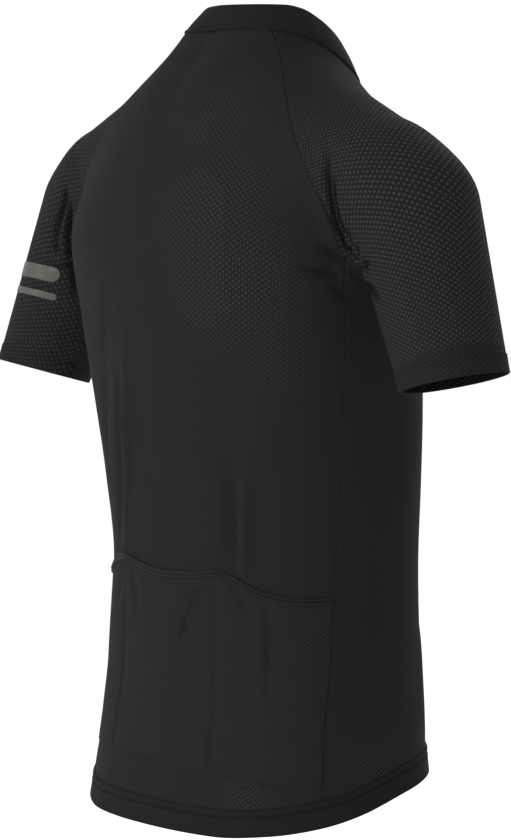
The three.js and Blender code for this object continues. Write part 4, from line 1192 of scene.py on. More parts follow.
class Finishes:
    """Every material of the garment, made once."""

    def __init__(self) -> None:
        """Builds the materials."""
        body = (0.0066, 0.0062, 0.0058)
        self.body = KnitFinish("fine_body_knit", body).material()
        self.sleeve = KnitFinish(
            "open_sleeve_knit", (0.0056, 0.0053, 0.005), light=(0.023, 0.0217, 0.02), cell=(6.1, 2.42),
            cell_radius=1.15).material()
        self.pocket = KnitFinish(
            "ribbed_pocket_knit", body, light=(0.0105, 0.0099, 0.0093), cell=(5.5, 2.15), cell_radius=0.9,
            cell_depth=0.2).material()
        self.band = KnitFinish("doubled_band_knit", (0.0052, 0.0049, 0.0046), mottle=0.12).material()
        self.collar = KnitFinish("collar_knit", (0.0054, 0.0051, 0.0048), mottle=0.12).material()
        self.binding = KnitFinish(
            "folded_elastic", (0.0058, 0.0055, 0.0052), wale=0.8, roughness=0.7, sheen=0.05).material()
        self.film = FilmFinish().material()
        self.thread = ThreadFinish("sewing_thread").material()
        self.tape = TapeFinish().material()
        self.teeth = HardFinish("moulded_teeth", (0.012, 0.012, 0.012), 0.0, 0.32).material()
        self.metal = HardFinish("black_lacquer", (0.02, 0.02, 0.021), 0.85, 0.34).material()


@dataclass
class Dressing:
    """How a piece is dressed once it is made; its slot is kept but not used."""

    slot: str
    replaces: tuple[str, ...] = ()
    body: Body = Body.GARMENT

    def apply(self, piece: bpy.types.Object, material: bpy.types.Material) -> None:
        """Gives a piece its material and body, and hides the nodes it replaces.

        Args:
            piece: Finished piece.
            material: Its material.
        """
        piece.data.materials.append(material)
        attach(piece, self.body.value)
        if self.replaces:
            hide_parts(*self.replaces)
        LOG.info("%s: %d faces", piece.name, len(piece.data.polygons))


# Sewing


# Distance between copies of a small shape while they stand in a line
COPY_STEP = 4.0


@dataclass(frozen=True)
class Stitching:
    """Rows of short thread stitches that lie on cloth."""

    length: float = 2.1
    pitch: float = 3.0
    thick: float = 0.42
    lift: float = 0.12

    def along(self, line: Array, normals: Array) -> list[Matrix]:
        """Places of a row of stitches along a seam line.

        Args:
            line: Points of the line on the cloth.
            normals: Outward directions at those points.

        Returns:
            A matrix for each stitch.
        """
        run = np.concatenate([[0], np.cumsum(np.linalg.norm(np.diff(line, axis=0), axis=1))])
        starts = np.arange(0.5 * self.pitch, run[-1] - self.length, self.pitch)
        at = np.stack([starts, starts + self.length / 2, starts + self.length])
        low, _, high = np.stack([np.interp(at, run, line[:, k]) for k in range(3)], axis=-1)
        out = np.stack([np.interp(at[1], run, normals[:, k]) for k in range(3)], axis=-1)
        return [self.across(*ends) for ends in zip(low, high, out)]

    def across(self, start: Array, end: Array, out: Array) -> Matrix:
        """Place of one stitch.

        Args:
            start: Where the thread comes up.
            end: Where it goes down.
            out: Outward direction there.

        Returns:
            The stitch's matrix, in metres.
        """
        way = Vector(end - start)
        length = way.length
        way.normalize()
        out = Vector(out)
        out = (out - way * out.dot(way)).normalized()
        turn = Matrix((way.cross(out), out, way)).transposed().to_4x4()
        place = Vector((start + end) / 2) + out * self.lift
        size = Matrix.Diagonal((self.thick / 2, self.thick / 2, length / 2, 1))
        return Matrix.Scale(MM, 4) @ Matrix.Translation(place) @ turn @ size


def repeated(name: str, matrices: Sequence[Matrix], make: Callable[[bmesh.types.BMesh], None]) -> bpy.types.Object:
    """Makes one object of many copies of a small shape.

    Args:
        name: Name of the piece.
        matrices: Place of each copy.
        make: Adds the shape to an empty mesh.

    Returns:
        The object.
    """
    bm = bmesh.new()
    make(bm)
    count = 1
    while count < len(matrices):
        made = bmesh.ops.duplicate(bm, geom=[*bm.verts, *bm.edges, *bm.faces])["geom"]
        fresh = [part for part in made if isinstance(part, bmesh.types.BMVert)]
        bmesh.ops.translate(bm, verts=fresh, vec=(COPY_STEP * count, 0, 0))
        count *= 2
    spare = [vert for vert in bm.verts if vert.co.x > COPY_STEP * (len(matrices) - 0.5)]
    bmesh.ops.delete(bm, geom=spare, context="VERTS")
    piece = finished(name, bm)
    lined = places(piece)
    number = np.rint(lined[:, 0] / COPY_STEP).astype(int)
    lined[:, 0] -= COPY_STEP * number
    turned = np.array(matrices)[number]
    spread = np.einsum("vij,vj->vi", turned[:, :3, :3], lined) + turned[:, :3, 3]
    piece.data.vertices.foreach_set("co", spread.ravel())
    piece.data.update()
    return piece


def bead(bm: bmesh.types.BMesh) -> None:
    """Adds the round bead that every stitch is drawn out from."""
    bmesh.ops.create_uvsphere(bm, u_segments=6, v_segments=4, radius=1.0)


def stitched(name: str, rows: Sequence[tuple[Array, Array]], stitching: Stitching) -> bpy.types.Object:
    """Makes one object of several rows of stitches.

    Args:
        name: Name of the piece.
        rows: Lines with their outward directions.
        stitching: Kind of stitch.

    Returns:
        The stitches' object.
    """
    return repeated(name, [matrix for line, out in rows for matrix in stitching.along(line, out)], bead)


def row_at(grid: Grid, share: float) -> tuple[Array, Array]:
    """Line across a grid, at a share of its rows from the first to the last."""
    at = share * (len(grid.points) - 1)
    low = min(int(at), len(grid.points) - 2)
    part = at - low
    line = grid.points[low] * (1 - part) + grid.points[low + 1] * part
    return line, grid.normals[low] * (1 - part) + grid.normals[low + 1] * part


# Cloth pieces


@dataclass
class BackAndFronts:
    """Back panel and the two fronts that wrap round to it."""

    seams: SeamPlan
    thickness: float = 0.7
    coarse_columns: int = 14
    body_rows: int = 13
    pocket_rows: int = 6
    row_fine: int = 9
    front_row_fine: int = 8
    binding_height: float = 6.0

    def back_points(self, side: Side) -> Array:
        """Points of half of the back panel, in rows from its upper edge to the hem band."""
        top = np.vstack([self.seams.neck_back, self.seams.back[1:]])
        share = np.linspace(0, 1, len(top))
        foot_angle = SIDE_FOOT_ANGLE * share
        foot = band_top(foot_angle)

        def angle_below(z: Array) -> Array:
            """Angle of each column below the armholes."""
            return foot_angle + (FORM.side_angle(z) - SIDE_FOOT_ANGLE) * share

        mouth = FORM.pocket_mouth(side.value * angle_below(np.full(len(top), MOUTH_LEVEL)))
        down = np.linspace(0, 1, self.body_rows * self.row_fine + 1)[:, None]
        upper = top[:, 2] + (mouth - top[:, 2]) * down
        below = np.linspace(0, 1, (self.pocket_rows + 2) * self.row_fine + 1)[1:, None]
        lower = mouth + (foot - mouth) * below
        z = np.vstack([upper, lower])
        ease = np.clip(np.concatenate([down[:, 0], np.ones(len(below))]), 0, 1)[:, None] ** COLUMN_EASE
        top_angle = FORM.torso_angle(top)
        angle = top_angle + (angle_below(z) - top_angle) * ease
        angle[:, -1] = FORM.side_angle(z[:, -1])
        points = FORM.on_torso(angle, z)
        points[0] = top
        return points

    def back_grid(self) -> Grid:
        """Both halves of the back panel, folded but not yet sewn."""
        folds = FOLDS + FINE_FOLDS
        return join_halves(
            lay_cloth(self.back_points(Side.RIGHT), Side.RIGHT, folds),
            lay_cloth(self.back_points(Side.LEFT), Side.LEFT, folds))

    def front_points(self) -> Array:
        """Points of a front panel at +X, in rows from its upper edge to the hem band."""
        top = np.vstack([self.seams.under, self.seams.front[1:], self.seams.neck_front[1:]])
        fine = self.seams.fine
        coarse = (len(top) - 1) / fine
        at = np.arange(len(top)) / fine
        foot_angle = SIDE_FOOT_ANGLE + (FRONT_MIDDLE_ANGLE - SIDE_FOOT_ANGLE) * np.clip(at / (coarse - 1), 0, 1)
        down = np.linspace(0, 1, (self.body_rows + self.pocket_rows + 2) * self.front_row_fine + 1)[:, None]
        z = top[:, 2] + (band_top(foot_angle) - top[:, 2]) * down
        top_angle = FORM.torso_angle(top)
        swing = (FORM.side_angle(z) - SIDE_FOOT_ANGLE) * (1 - at / coarse)
        eased = np.clip(down * (self.body_rows + self.pocket_rows + 2) / self.body_rows, 0, 1) ** COLUMN_EASE
        angle = top_angle + (foot_angle + swing - top_angle) * eased
        angle[:, 0] = FORM.side_angle(z[:, 0])
        points = FORM.on_torso(angle, z)
        first = int((coarse - 3) * fine)
        span = (at[first:] - at[first]) / (coarse - at[first])
        x = points[:, first, :1] + (FRONT_EDGE_X - points[:, first, :1]) * span
        points[:, first:] = FORM.on_front(x, z[:, first:])
        points[0] = top
        return points

    def build(self, finishes: Finishes) -> None:
        """Makes the three panels and dresses them.

        Args:
            finishes: The garment's materials.
        """
        grid = self.back_grid()
        for edge in Edge:
            grid = SEAM.sew(grid, edge)
        self.panel("back_cloth", grid, "back", finishes)
        points = self.front_points()
        twin = None
        for side in Side:
            grid = lay_cloth(points, side, FOLDS + FINE_FOLDS)
            for edge in (Edge.TOP, Edge.BOTTOM, Edge.FIRST):
                grid = SEAM.sew(grid, edge)
            grid = OPEN_EDGE.sew(grid, Edge.LAST)
            twin = self.panel(f"front_{side.word}_cloth", grid, f"front_{side.word}", finishes, twin)

    def panel(self, name: str, grid: Grid, node: str, finishes: Finishes,
              twin: bpy.types.Object | None = None) -> bpy.types.Object:
        """Makes one panel of body knit.

        Args:
            name: Name of the piece.
            grid: Its sewn grid.
            node: Node that it takes the place of.
            finishes: The garment's materials.
            twin: Panel of the other side, whose cut it shares.

        Returns:
            The panel.
        """
        piece = cloth_mesh(name, grid)
        flat = cut_like(piece, twin) if twin else cut_by_flattening(piece, places(piece)[:, 2])
        open_knit(piece, 0.05, OPEN_ZONES)
        mark_painted_crease_shade(piece, FOLDS + FINE_FOLDS)
        area = area_of(piece)
        shell(piece, self.thickness)
        Dressing("body_knit", (node,)).apply(piece, finishes.body)
        return piece


ARM_WAY = np.subtract(FORM.arm.end, FORM.arm.start) / np.linalg.norm(np.subtract(FORM.arm.end, FORM.arm.start))
SLEEVE_TOP = np.array(FORM.arm.start) + ARM_WAY * 44.0


@dataclass(frozen=True)
class Cuff:
    """Where a sleeve ends: how far beyond the end of the arm, and its plane's slope."""

    beyond: float
    out: float
    back: float

    def normal(self) -> Array:
        """Direction down through the cuff."""
        return np.array([self.out, self.back, -1]) / np.linalg.norm([self.out, self.back, -1])

    def middle(self) -> Array:
        """Middle of the cuff."""
        return np.array(FORM.arm.end) + ARM_WAY * self.beyond

    def run(self) -> float:
        """Length of the sleeve from just below the underarm to the cuff."""
        return float(np.linalg.norm(self.middle() - SLEEVE_TOP))


CUFFS = {Side.RIGHT: Cuff(4.5, 0.23, -0.05), Side.LEFT: Cuff(20, 0.11, 0.25)}


@dataclass
class Sleeves:
    """Raglan sleeves, cut in one with the shoulders, with turned hems."""

    seams: SeamPlan
    thickness: float = 0.7
    hem: float = 18.0
    doubled: float = 0.8
    inner: float = -1.2
    shoulder_rows: int = 54
    arm_rows: int = 40
    hem_rows: int = 12
    fan_even: float = 0.45
    fan_power: float = 2.5
    inside: tuple[float, float, float] = (150, 15, -110)

    def on_arm(self, middle: Array, normal: Array, turn: Array) -> Array:
        """Points round the arm.

        Args:
            middle: Middles of the rings.
            normal: Directions down through the rings.
            turn: Turns from the inside by the back and the outside to the front.

        Returns:
            Points on the form at +X.
        """
        normal = normal / np.linalg.norm(normal, axis=-1, keepdims=True)
        inward = np.array([-1.0, 0, 0]) + normal * normal[..., :1]
        inward /= np.linalg.norm(inward, axis=-1, keepdims=True)
        back = np.cross(normal, inward)
        back *= np.where(back[..., 1:2] < 0, -1, 1)
        a = 2 * np.pi * np.asarray(turn, float)[..., None]
        return FORM.cast(middle, inward * np.cos(a) + back * np.sin(a))

    def on_sleeve(self, cuff: Cuff, share: Array, turn: Array) -> Array:
        """Points of a sleeve; share is 0 just below the underarm and 1 at the cuff."""
        share, turn = np.broadcast_arrays(np.asarray(share, float), np.asarray(turn, float))
        normal = ARM_WAY + (cuff.normal() - ARM_WAY) * share[..., None]
        return self.on_arm(SLEEVE_TOP + (cuff.middle() - SLEEVE_TOP) * share[..., None], normal, turn)

    def above_cuff(self, cuff: Cuff, above: Array, turn: Array) -> Array:
        """Points of a sleeve on planes that lie level with its cuff, some way above it."""
        above = np.asarray(above, float)
        return self.on_arm(cuff.middle() - ARM_WAY * above[..., None], cuff.normal(), turn)

    def points(self, cuff: Cuff) -> tuple[Array, Array]:
        """Points of a sleeve at +X, and of its hem, in rows from the raglan seams to the cuff."""
        s = self.seams
        loop = np.vstack([s.under[::-1], s.back[-2::-1], s.neck_sleeve[1:], s.front[::-1][1:]])
        run = np.concatenate([[0], np.cumsum(np.linalg.norm(np.diff(loop, axis=0), axis=1))])
        share = 2 * run / run[-1]
        half = np.minimum(share, 2 - share)
        turn = 0.5 * ((1 - (1 - half) ** self.fan_power) * (1 - self.fan_even) + half * self.fan_even)
        turn = np.where(share < 1, turn, 1 - turn)
        target = self.on_sleeve(cuff, np.zeros_like(turn), turn)
        down = np.linspace(0, 1, self.shoulder_rows + 1)[:, None, None]
        inside = np.array(self.inside) + (SLEEVE_TOP - np.array(self.inside)) * down
        through = loop + (target - loop) * down
        shoulder = FORM.cast(inside, through - inside)
        shoulder[0] = loop
        hem_start = 1 - self.hem / cuff.run()
        arm = self.on_sleeve(cuff, np.linspace(0, hem_start, self.arm_rows + 1)[1:, None], turn)
        hem = self.on_sleeve(cuff, np.linspace(hem_start, 1, self.hem_rows + 1)[:, None], turn)
        return np.vstack([shoulder, arm]), hem

    def build(self, finishes: Finishes) -> None:
        """Makes both sleeves, their hems' stitches, and dresses them.

        Args:
            finishes: The garment's materials.
        """
        folds = FOLDS + FINE_FOLDS
        for side in Side:
            upper, hem = self.points(CUFFS[side])
            body = lay_cloth(upper, side, folds)
            cuff = lay_cloth(hem, side, folds)
            depth = np.linspace(0, self.hem, self.hem_rows + 1)
            ridge = 0.35 * np.exp(-((depth - 0.9) / 0.9) ** 2)
            outer = self.doubled * np.clip(depth / 1.2, 0, 1) + ridge - 0.35 * np.exp(-((depth - 2.6) / 0.7) ** 2)
            doubled = fold_over(cuff, outer, self.inner)
            grid = Grid(np.concatenate([body.points, doubled.points[1:]]),
                        np.concatenate([body.normals, doubled.normals[1:]]))
            for edge in (Edge.TOP, Edge.FIRST, Edge.LAST):
                grid = (RAGLAN if edge is Edge.TOP else SEAM).sew(grid, edge)
            piece = cloth_mesh(f"sleeve_{side.word}_cloth", grid)
            flat = cut_by_flattening(piece, places(piece) @ (-ARM_WAY * np.array([side.value, 1, 1])))
            self.open_sleeve(piece, side)
            mark_painted_crease_shade(piece, folds)
            area = area_of(piece)
            shell(piece, self.thickness)
            Dressing("sleeve_mesh_knit", (f"sleeve_{side.word}",)).apply(piece, finishes.sleeve)
            rows = [row_at(cuff.raised(self.doubled + 0.05), share) for share in (2.0 / self.hem, 4.6 / self.hem)]
            threads = stitched(f"cuff_{side.word}_stitches", rows, Stitching())
            Dressing("sleeve_mesh_knit").apply(threads, finishes.thread)

    def open_sleeve(self, piece: bpy.types.Object, side: Side) -> None:
        """Opens the knit of a sleeve, least beside the neck and at the hem, and less on the left sleeve, where less
        light catches the cells.

        Args:
            piece: Sleeve object.
            side: The wearer's side.
        """
        p = places(piece) / MM * np.array([side.value, 1, 1])
        along = (p - SLEEVE_TOP) @ ARM_WAY
        from_neck = np.linalg.norm(p - np.array([70, 10, -5]), axis=1)
        # Fainter beside the neck and on the left sleeve: the cells' lighter colour is partly painted highlight, kept to
        # where the light falls.
        share = np.clip((from_neck - 60) / 110, 0.18, 1) * (1 if side is Side.RIGHT else 0.7)
        share *= 1 - 0.72 * np.clip((along - (CUFFS[side].run() - self.hem)) / 4, 0, 1)
        carry(piece, "openness", share)


@dataclass(frozen=True)
class Bar:
    """One reflective bar: distance above the cuff, height, and its ends round the arm in degrees."""

    name: str
    above: float
    height: float
    start: float
    end: float


@dataclass
class ReflectiveBars:
    """Two plain bars with round ends, bonded round the left sleeve."""

    sleeves: Sleeves
    lift: float = 0.3
    thickness: float = 0.35
    columns: int = 96
    rows: int = 14
    bars: tuple[Bar, ...] = (
        Bar("reflective_bar_wide", 91.2, 15.5, 49, 192), Bar("reflective_bar_narrow", 73.5, 7, 45, 189))

    def build(self, finishes: Finishes) -> None:
        """Makes the bars and dresses them.

        Args:
            finishes: The garment's materials.
        """
        for bar in self.bars:
            round_end = bar.height / 2
            length = math.radians(bar.end - bar.start) * FORM.arm.end_radius
            eased = (1 - np.cos(np.pi * np.linspace(0, 1, self.columns + 1))) / 2
            from_end = np.minimum(eased, 1 - eased) * length
            inset = np.maximum(round_end - from_end, 0)
            half = np.maximum(np.sqrt(np.maximum(round_end ** 2 - inset ** 2, 0)), 0.15)
            across = np.sin(np.linspace(math.pi / 2, -math.pi / 2, self.rows + 1))[:, None]
            above = bar.above + round_end + half * across
            turn = (bar.start + (bar.end - bar.start) * eased) / 360
            points = self.sleeves.above_cuff(CUFFS[Side.LEFT], above, np.broadcast_to(turn, above.shape))
            grid = lay_cloth(points, Side.LEFT, FOLDS + FINE_FOLDS)
            edge = np.minimum(half * (1 - np.abs(across)), from_end + 0.0 * across)
            rise = self.lift + self.thickness * np.clip(edge / 0.7, 0, 1) ** 0.5
            piece = cloth_mesh(f"{bar.name}_film", grid.raised(rise))
            cut_by_lengths(piece, grid)
            shell(piece, 0.25)
            Dressing("reflective_film", (bar.name,)).apply(piece, finishes.film)


@dataclass
class Pockets:
    """Three back pockets in one panel, with a folded elastic binding along their mouths."""

    panels: BackAndFronts
    thickness: float = 0.7
    lift: float = 0.9
    fullness: float = 2.0
    wall: float = 1.2
    rows: int = 60
    binding_lift: float = 0.5
    binding_thick: float = 2.3
    tuck: float = 1.4

    def sheet_points(self, side: Side, start: Array, rows: int) -> Array:
        """Points under half of the pocket panel.

        Args:
            side: The wearer's side.
            start: How far below the mouth the first row is.
            rows: Number of steps down to the foot.

        Returns:
            Points on the form at +X.
        """
        count = len(self.panels.seams.neck_back) + len(self.panels.seams.back) - 1
        share = np.linspace(0, 1, count)
        foot_angle = SIDE_FOOT_ANGLE * share
        level = foot_angle + (FORM.side_angle(MOUTH_LEVEL) - SIDE_FOOT_ANGLE) * share
        mouth = FORM.pocket_mouth(side.value * level) - start
        foot = FORM.pocket_foot(side.value * foot_angle)
        z = mouth + (foot - mouth) * np.linspace(0, 1, rows + 1)[:, None]
        angle = foot_angle + (FORM.side_angle(z) - SIDE_FOOT_ANGLE) * share
        return FORM.on_torso(angle, z)

    def panel_grid(self) -> Grid:
        """The pocket panel's grid, standing off the back by its fullness."""
        folds = FOLDS + FINE_FOLDS + POCKET_FOLDS + POCKET_SEAMS
        start = self.panels.binding_height - self.tuck
        halves = {side: lay_cloth(self.sheet_points(side, start, self.rows), side, folds) for side in Side}
        grid = join_halves(halves[Side.RIGHT], halves[Side.LEFT])
        angle = np.abs(FORM.torso_angle(grid.points))
        middle = 0.5 + angle / (2 * DIVIDER_ANGLE)
        outer = (angle - DIVIDER_ANGLE) / (SIDE_FOOT_ANGLE - DIVIDER_ANGLE)
        across = np.clip(np.where(angle < DIVIDER_ANGLE, middle, outer), 0, 1)
        down = np.linspace(0, 1, self.rows + 1)[:, None]
        full = self.fullness * np.sin(np.pi * down) * np.sin(np.pi * across)
        beside = np.abs(angle - DIVIDER_ANGLE) * math.radians(1) * 118
        pressed = 1.1 * np.exp(-(beside / 1.1) ** 2)
        waves = 0.35 * np.sin(down * 40) * np.exp(-(beside / 9) ** 2) * (down < 0.97)
        return grid.raised(self.lift + full - pressed + waves)

    def binding_grid(self) -> Grid:
        """The binding's grid: a folded elastic with two ridges, wrapped round the mouth's edge."""
        height = self.panels.binding_height
        profile = (
            (height, 0.0), (height * 0.5, 0.0), (0.7, 0.0), (0.15, 0.3), (0.0, 0.95), (0.3, 1.6), (0.8, 2.1),
            (1.4, 2.3), (2.0, 2.1), (2.45, 1.6), (2.75, 0.95), (3.05, 0.9), (3.35, 1.5), (3.9, 2.05), (4.6, 2.15),
            (5.2, 1.85), (5.6, 1.2), (5.85, 0.5), (6.0, 0.1),
        )
        folds = FOLDS + FINE_FOLDS
        points, normals = [], []
        levels = {side: lay_cloth(self.sheet_points(side, np.array(0.0), 1), side, folds) for side in Side}
        top = join_halves(levels[Side.RIGHT], levels[Side.LEFT]).rows(0, 1)
        levels = {side: lay_cloth(self.sheet_points(side, np.array(height), 1), side, folds) for side in Side}
        foot = join_halves(levels[Side.RIGHT], levels[Side.LEFT]).rows(0, 1)
        for below, out in profile:
            part = below / height
            normal = top.normals[0] * (1 - part) + foot.normals[0] * part
            normal /= np.linalg.norm(normal, axis=-1, keepdims=True)
            place = top.points[0] * (1 - part) + foot.points[0] * part
            points.append(place + normal * (self.binding_lift + out))
            normals.append(normal)
        return Grid(np.array(points), np.array(normals))

    def build(self, finishes: Finishes) -> None:
        """Makes the panel, the binding and their stitches, and dresses them.

        Args:
            finishes: The garment's materials.
        """
        grid = self.panel_grid()
        sewn = Seam(groove=0.5, width=1.0, near=(0.1, 0.5, 1.0, 1.7), turned=(0.4, 0.8))
        edged = grid
        for edge in (Edge.BOTTOM, Edge.FIRST, Edge.LAST):
            edged = sewn.sew(edged, edge)
        piece = cloth_mesh("pocket_cloth", edged)
        flat = cut_by_lengths(piece, edged)
        open_knit(piece, 0.85, ())
        mark_painted_crease_shade(piece, FOLDS + FINE_FOLDS + POCKET_FOLDS + POCKET_SEAMS)
        area = area_of(piece)
        shell(piece, self.thickness)
        Dressing("pocket_knit", ("pocket_panel",)).apply(piece, finishes.pocket)

        wrap = self.binding_grid()
        binding = cloth_mesh("pocket_edge_elastic", wrap)
        flat = cut_by_lengths(binding, wrap)
        open_knit(binding, 0.0, ())
        shell(binding, 0.4)
        Dressing("elastic_binding", ("pocket_binding",)).apply(binding, finishes.binding)
        self.sew_pockets(grid, wrap, finishes)

    def sew_pockets(self, grid: Grid, wrap: Grid, finishes: Finishes) -> None:
        """Adds the pocket's stitch lines and bar tacks.

        Args:
            grid: The panel's grid.
            wrap: The binding's grid.
            finishes: The garment's materials.
        """
        angles = FORM.torso_angle(grid.points)
        rows = [row_at(wrap, 11 / 18), row_at(grid, 1 - 1.8 / self.rows)]
        tacks = []
        for side in Side:
            column = np.abs(angles - side.value * DIVIDER_ANGLE).argmin(axis=1)
            at = np.arange(len(column))
            line, out = grid.points[at, column], grid.normals[at, column]
            rows.append((line[2:], out[2:]))
            tacks += [(line[2], line[5], out[3]), (line[-5], line[-2], out[-3])]
        piece = stitched("pocket_stitches", rows, Stitching(length=2.0, pitch=2.9))
        Dressing("pocket_knit").apply(piece, finishes.thread)
        dense = Stitching(thick=0.5, lift=0.3)
        matrices = []
        for start, end, out in tacks:
            along = end - start
            across = np.cross(along, out)
            across *= 1.3 / np.linalg.norm(across)
            for i in range(9):
                middle = start + along * i / 8
                matrices.append(dense.across(middle - across, middle + across + along / 16, out))
        Dressing("pocket_knit").apply(repeated("pocket_bar_tacks", matrices, bead), finishes.thread)


@dataclass
class HemBand:
    """Doubled hem band with a raised seam along its top, from zip edge to zip edge."""

    panels: BackAndFronts
    thickness: float = 0.6
    doubled: float = 0.8
    inner: float = -1.2
    rows: int = 40

    def half(self, side: Side) -> Grid:
        """Half of the band, from the back centre to the zip edge, in rows downwards."""
        back = self.panels.back_points(side)[-1]
        front = self.panels.front_points()[-1]
        top = np.vstack([back, front[1:]])
        drop = BAND_HEIGHT * np.linspace(0, 1, self.rows + 1)[:, None]
        z = top[:, 2] - drop
        points = FORM.on_torso(np.broadcast_to(FORM.torso_angle(top), z.shape), z)
        near = top[:, 0] < 30
        near &= top[:, 1] < 0
        points[:, near] = FORM.on_front(np.broadcast_to(top[near, 0], (len(z), near.sum())), z[:, near])
        return lay_cloth(points, side, FOLDS + FINE_FOLDS)

    def build(self, finishes: Finishes) -> None:
        """Makes the band and its stitches, and dresses them.

        Args:
            finishes: The garment's materials.
        """
        grid = join_halves(self.half(Side.RIGHT), self.half(Side.LEFT))
        depth = np.linspace(0, BAND_HEIGHT, self.rows + 1)
        ridge = 0.5 * np.exp(-((depth - 3.2) / 1.9) ** 2)
        groove = 1.0 * np.exp(-((depth - 6.6) / 0.75) ** 2)
        outer = self.doubled + ridge - groove + 0.25 * np.exp(-((depth - 9.0) / 1.6) ** 2)
        doubled = fold_over(grid, outer, self.inner)
        sewn = SEAM.sew(doubled, Edge.TOP)
        for edge in (Edge.FIRST, Edge.LAST):
            sewn = OPEN_EDGE.sew(sewn, edge)
        piece = cloth_mesh("hem_band_cloth", sewn)
        flat = cut_by_lengths(piece, sewn)
        open_knit(piece, 0.0, ())
        shell(piece, self.thickness)
        Dressing("band_knit", ("hem_band",)).apply(piece, finishes.band)
        rows = [row_at(grid.raised(0.2), 6.6 / BAND_HEIGHT)]
        threads = stitched("hem_band_stitches", rows, Stitching())
        Dressing("band_knit").apply(threads, finishes.thread)


@dataclass
class Collar:
    """Stand-up collar, doubled, with a raised strip along the neck seam."""

    top_half: float = 66.0
    top_depth: float = 63.0
    top_centre: float = -20.0
    belly: float = 1.6
    thickness: float = 0.6
    doubled: float = 0.8
    inner: float = -1.2
    columns: int = 110
    rows: int = 22

    def point(self, seam_angle: Array, top_angle: Array, height: Array) -> Array:
        """Points of the collar.

        Args:
            seam_angle: Angle at the neck seam, from the back centre.
            top_angle: Angle at the upper edge.
            height: 0 at the neck seam and 1 at the upper edge.

        Returns:
            The points at +X.
        """
        low = FORM.on_neck(seam_angle)
        a = np.radians(top_angle)
        y = self.top_centre + self.top_depth * np.cos(a)
        high = np.stack([self.top_half * np.sin(a), y, FORM.collar_height(top_angle)], axis=-1)
        height = np.asarray(height, float)[..., None]
        p = low + (high - low) * height
        out = p - np.array([0, self.top_centre, 0]) * height
        out[..., 2] = 0
        out /= np.linalg.norm(out, axis=-1, keepdims=True)
        return p + out * self.belly * 4 * height * (1 - height)

    def edge_angles(self, x: float) -> tuple[float, float]:
        """Angles at the seam and at the upper edge, at a distance from the front middle."""
        return FORM.neck_angle_at(x), 180 - math.degrees(math.asin(x / self.top_half))

    def grid(self) -> Grid:
        """The whole collar, from its upper edge down to the seam."""
        seam_end, top_end = self.edge_angles(FRONT_EDGE_X)
        share = np.linspace(0, 1, self.columns + 1)
        seam = seam_end * share
        top = np.where(share < 0.75, seam, seam + (top_end - seam_end) * ((share - 0.75) / 0.25) ** 2)
        height = np.linspace(1, 0.01, self.rows + 1)[:, None]
        half = self.point(np.broadcast_to(seam, (self.rows + 1, len(seam))),
                          np.broadcast_to(top, (self.rows + 1, len(top))), np.broadcast_to(height, (self.rows + 1, len(seam))))
        mirrored = half[:, :0:-1] * np.array([-1, 1, 1])
        return grid_through(np.concatenate([mirrored, half], axis=1))

    def build(self, finishes: Finishes) -> None:
        """Makes the collar and its stitches, and dresses them.

        Args:
            finishes: The garment's materials.
        """
        grid = self.grid()
        upward = Grid(grid.points[::-1], grid.normals[::-1])
        lengths = np.linalg.norm(np.diff(upward.points, axis=0), axis=2).mean(axis=1)
        depth = np.concatenate([[0], np.cumsum(lengths)])
        strip = 0.75 * np.exp(-((depth - 2.2) / 1.5) ** 4)
        groove = 0.45 * np.exp(-((depth - 4.6) / 0.7) ** 2)
        outer = self.doubled + strip - groove
        doubled = fold_over(upward, outer, self.inner)
        sewn = Seam(groove=0.9, width=1.1, turned=(1.0, 4.0), past=0.9).sew(doubled, Edge.TOP)
        for edge in (Edge.FIRST, Edge.LAST):
            sewn = OPEN_EDGE.sew(sewn, edge)
        piece = cloth_mesh("collar_cloth", sewn)
        flat = cut_by_lengths(piece, sewn)
        open_knit(piece, 0.0, ())
        shell(piece, self.thickness)
        Dressing("collar_knit", ("collar",)).apply(piece, finishes.collar)
        rows = [row_at(upward.raised(0.45), 4.6 / depth[-1])]
        threads = stitched("collar_stitches", rows, Stitching(length=1.8, pitch=2.6))
        Dressing("collar_knit").apply(threads, finishes.thread)


# Zip


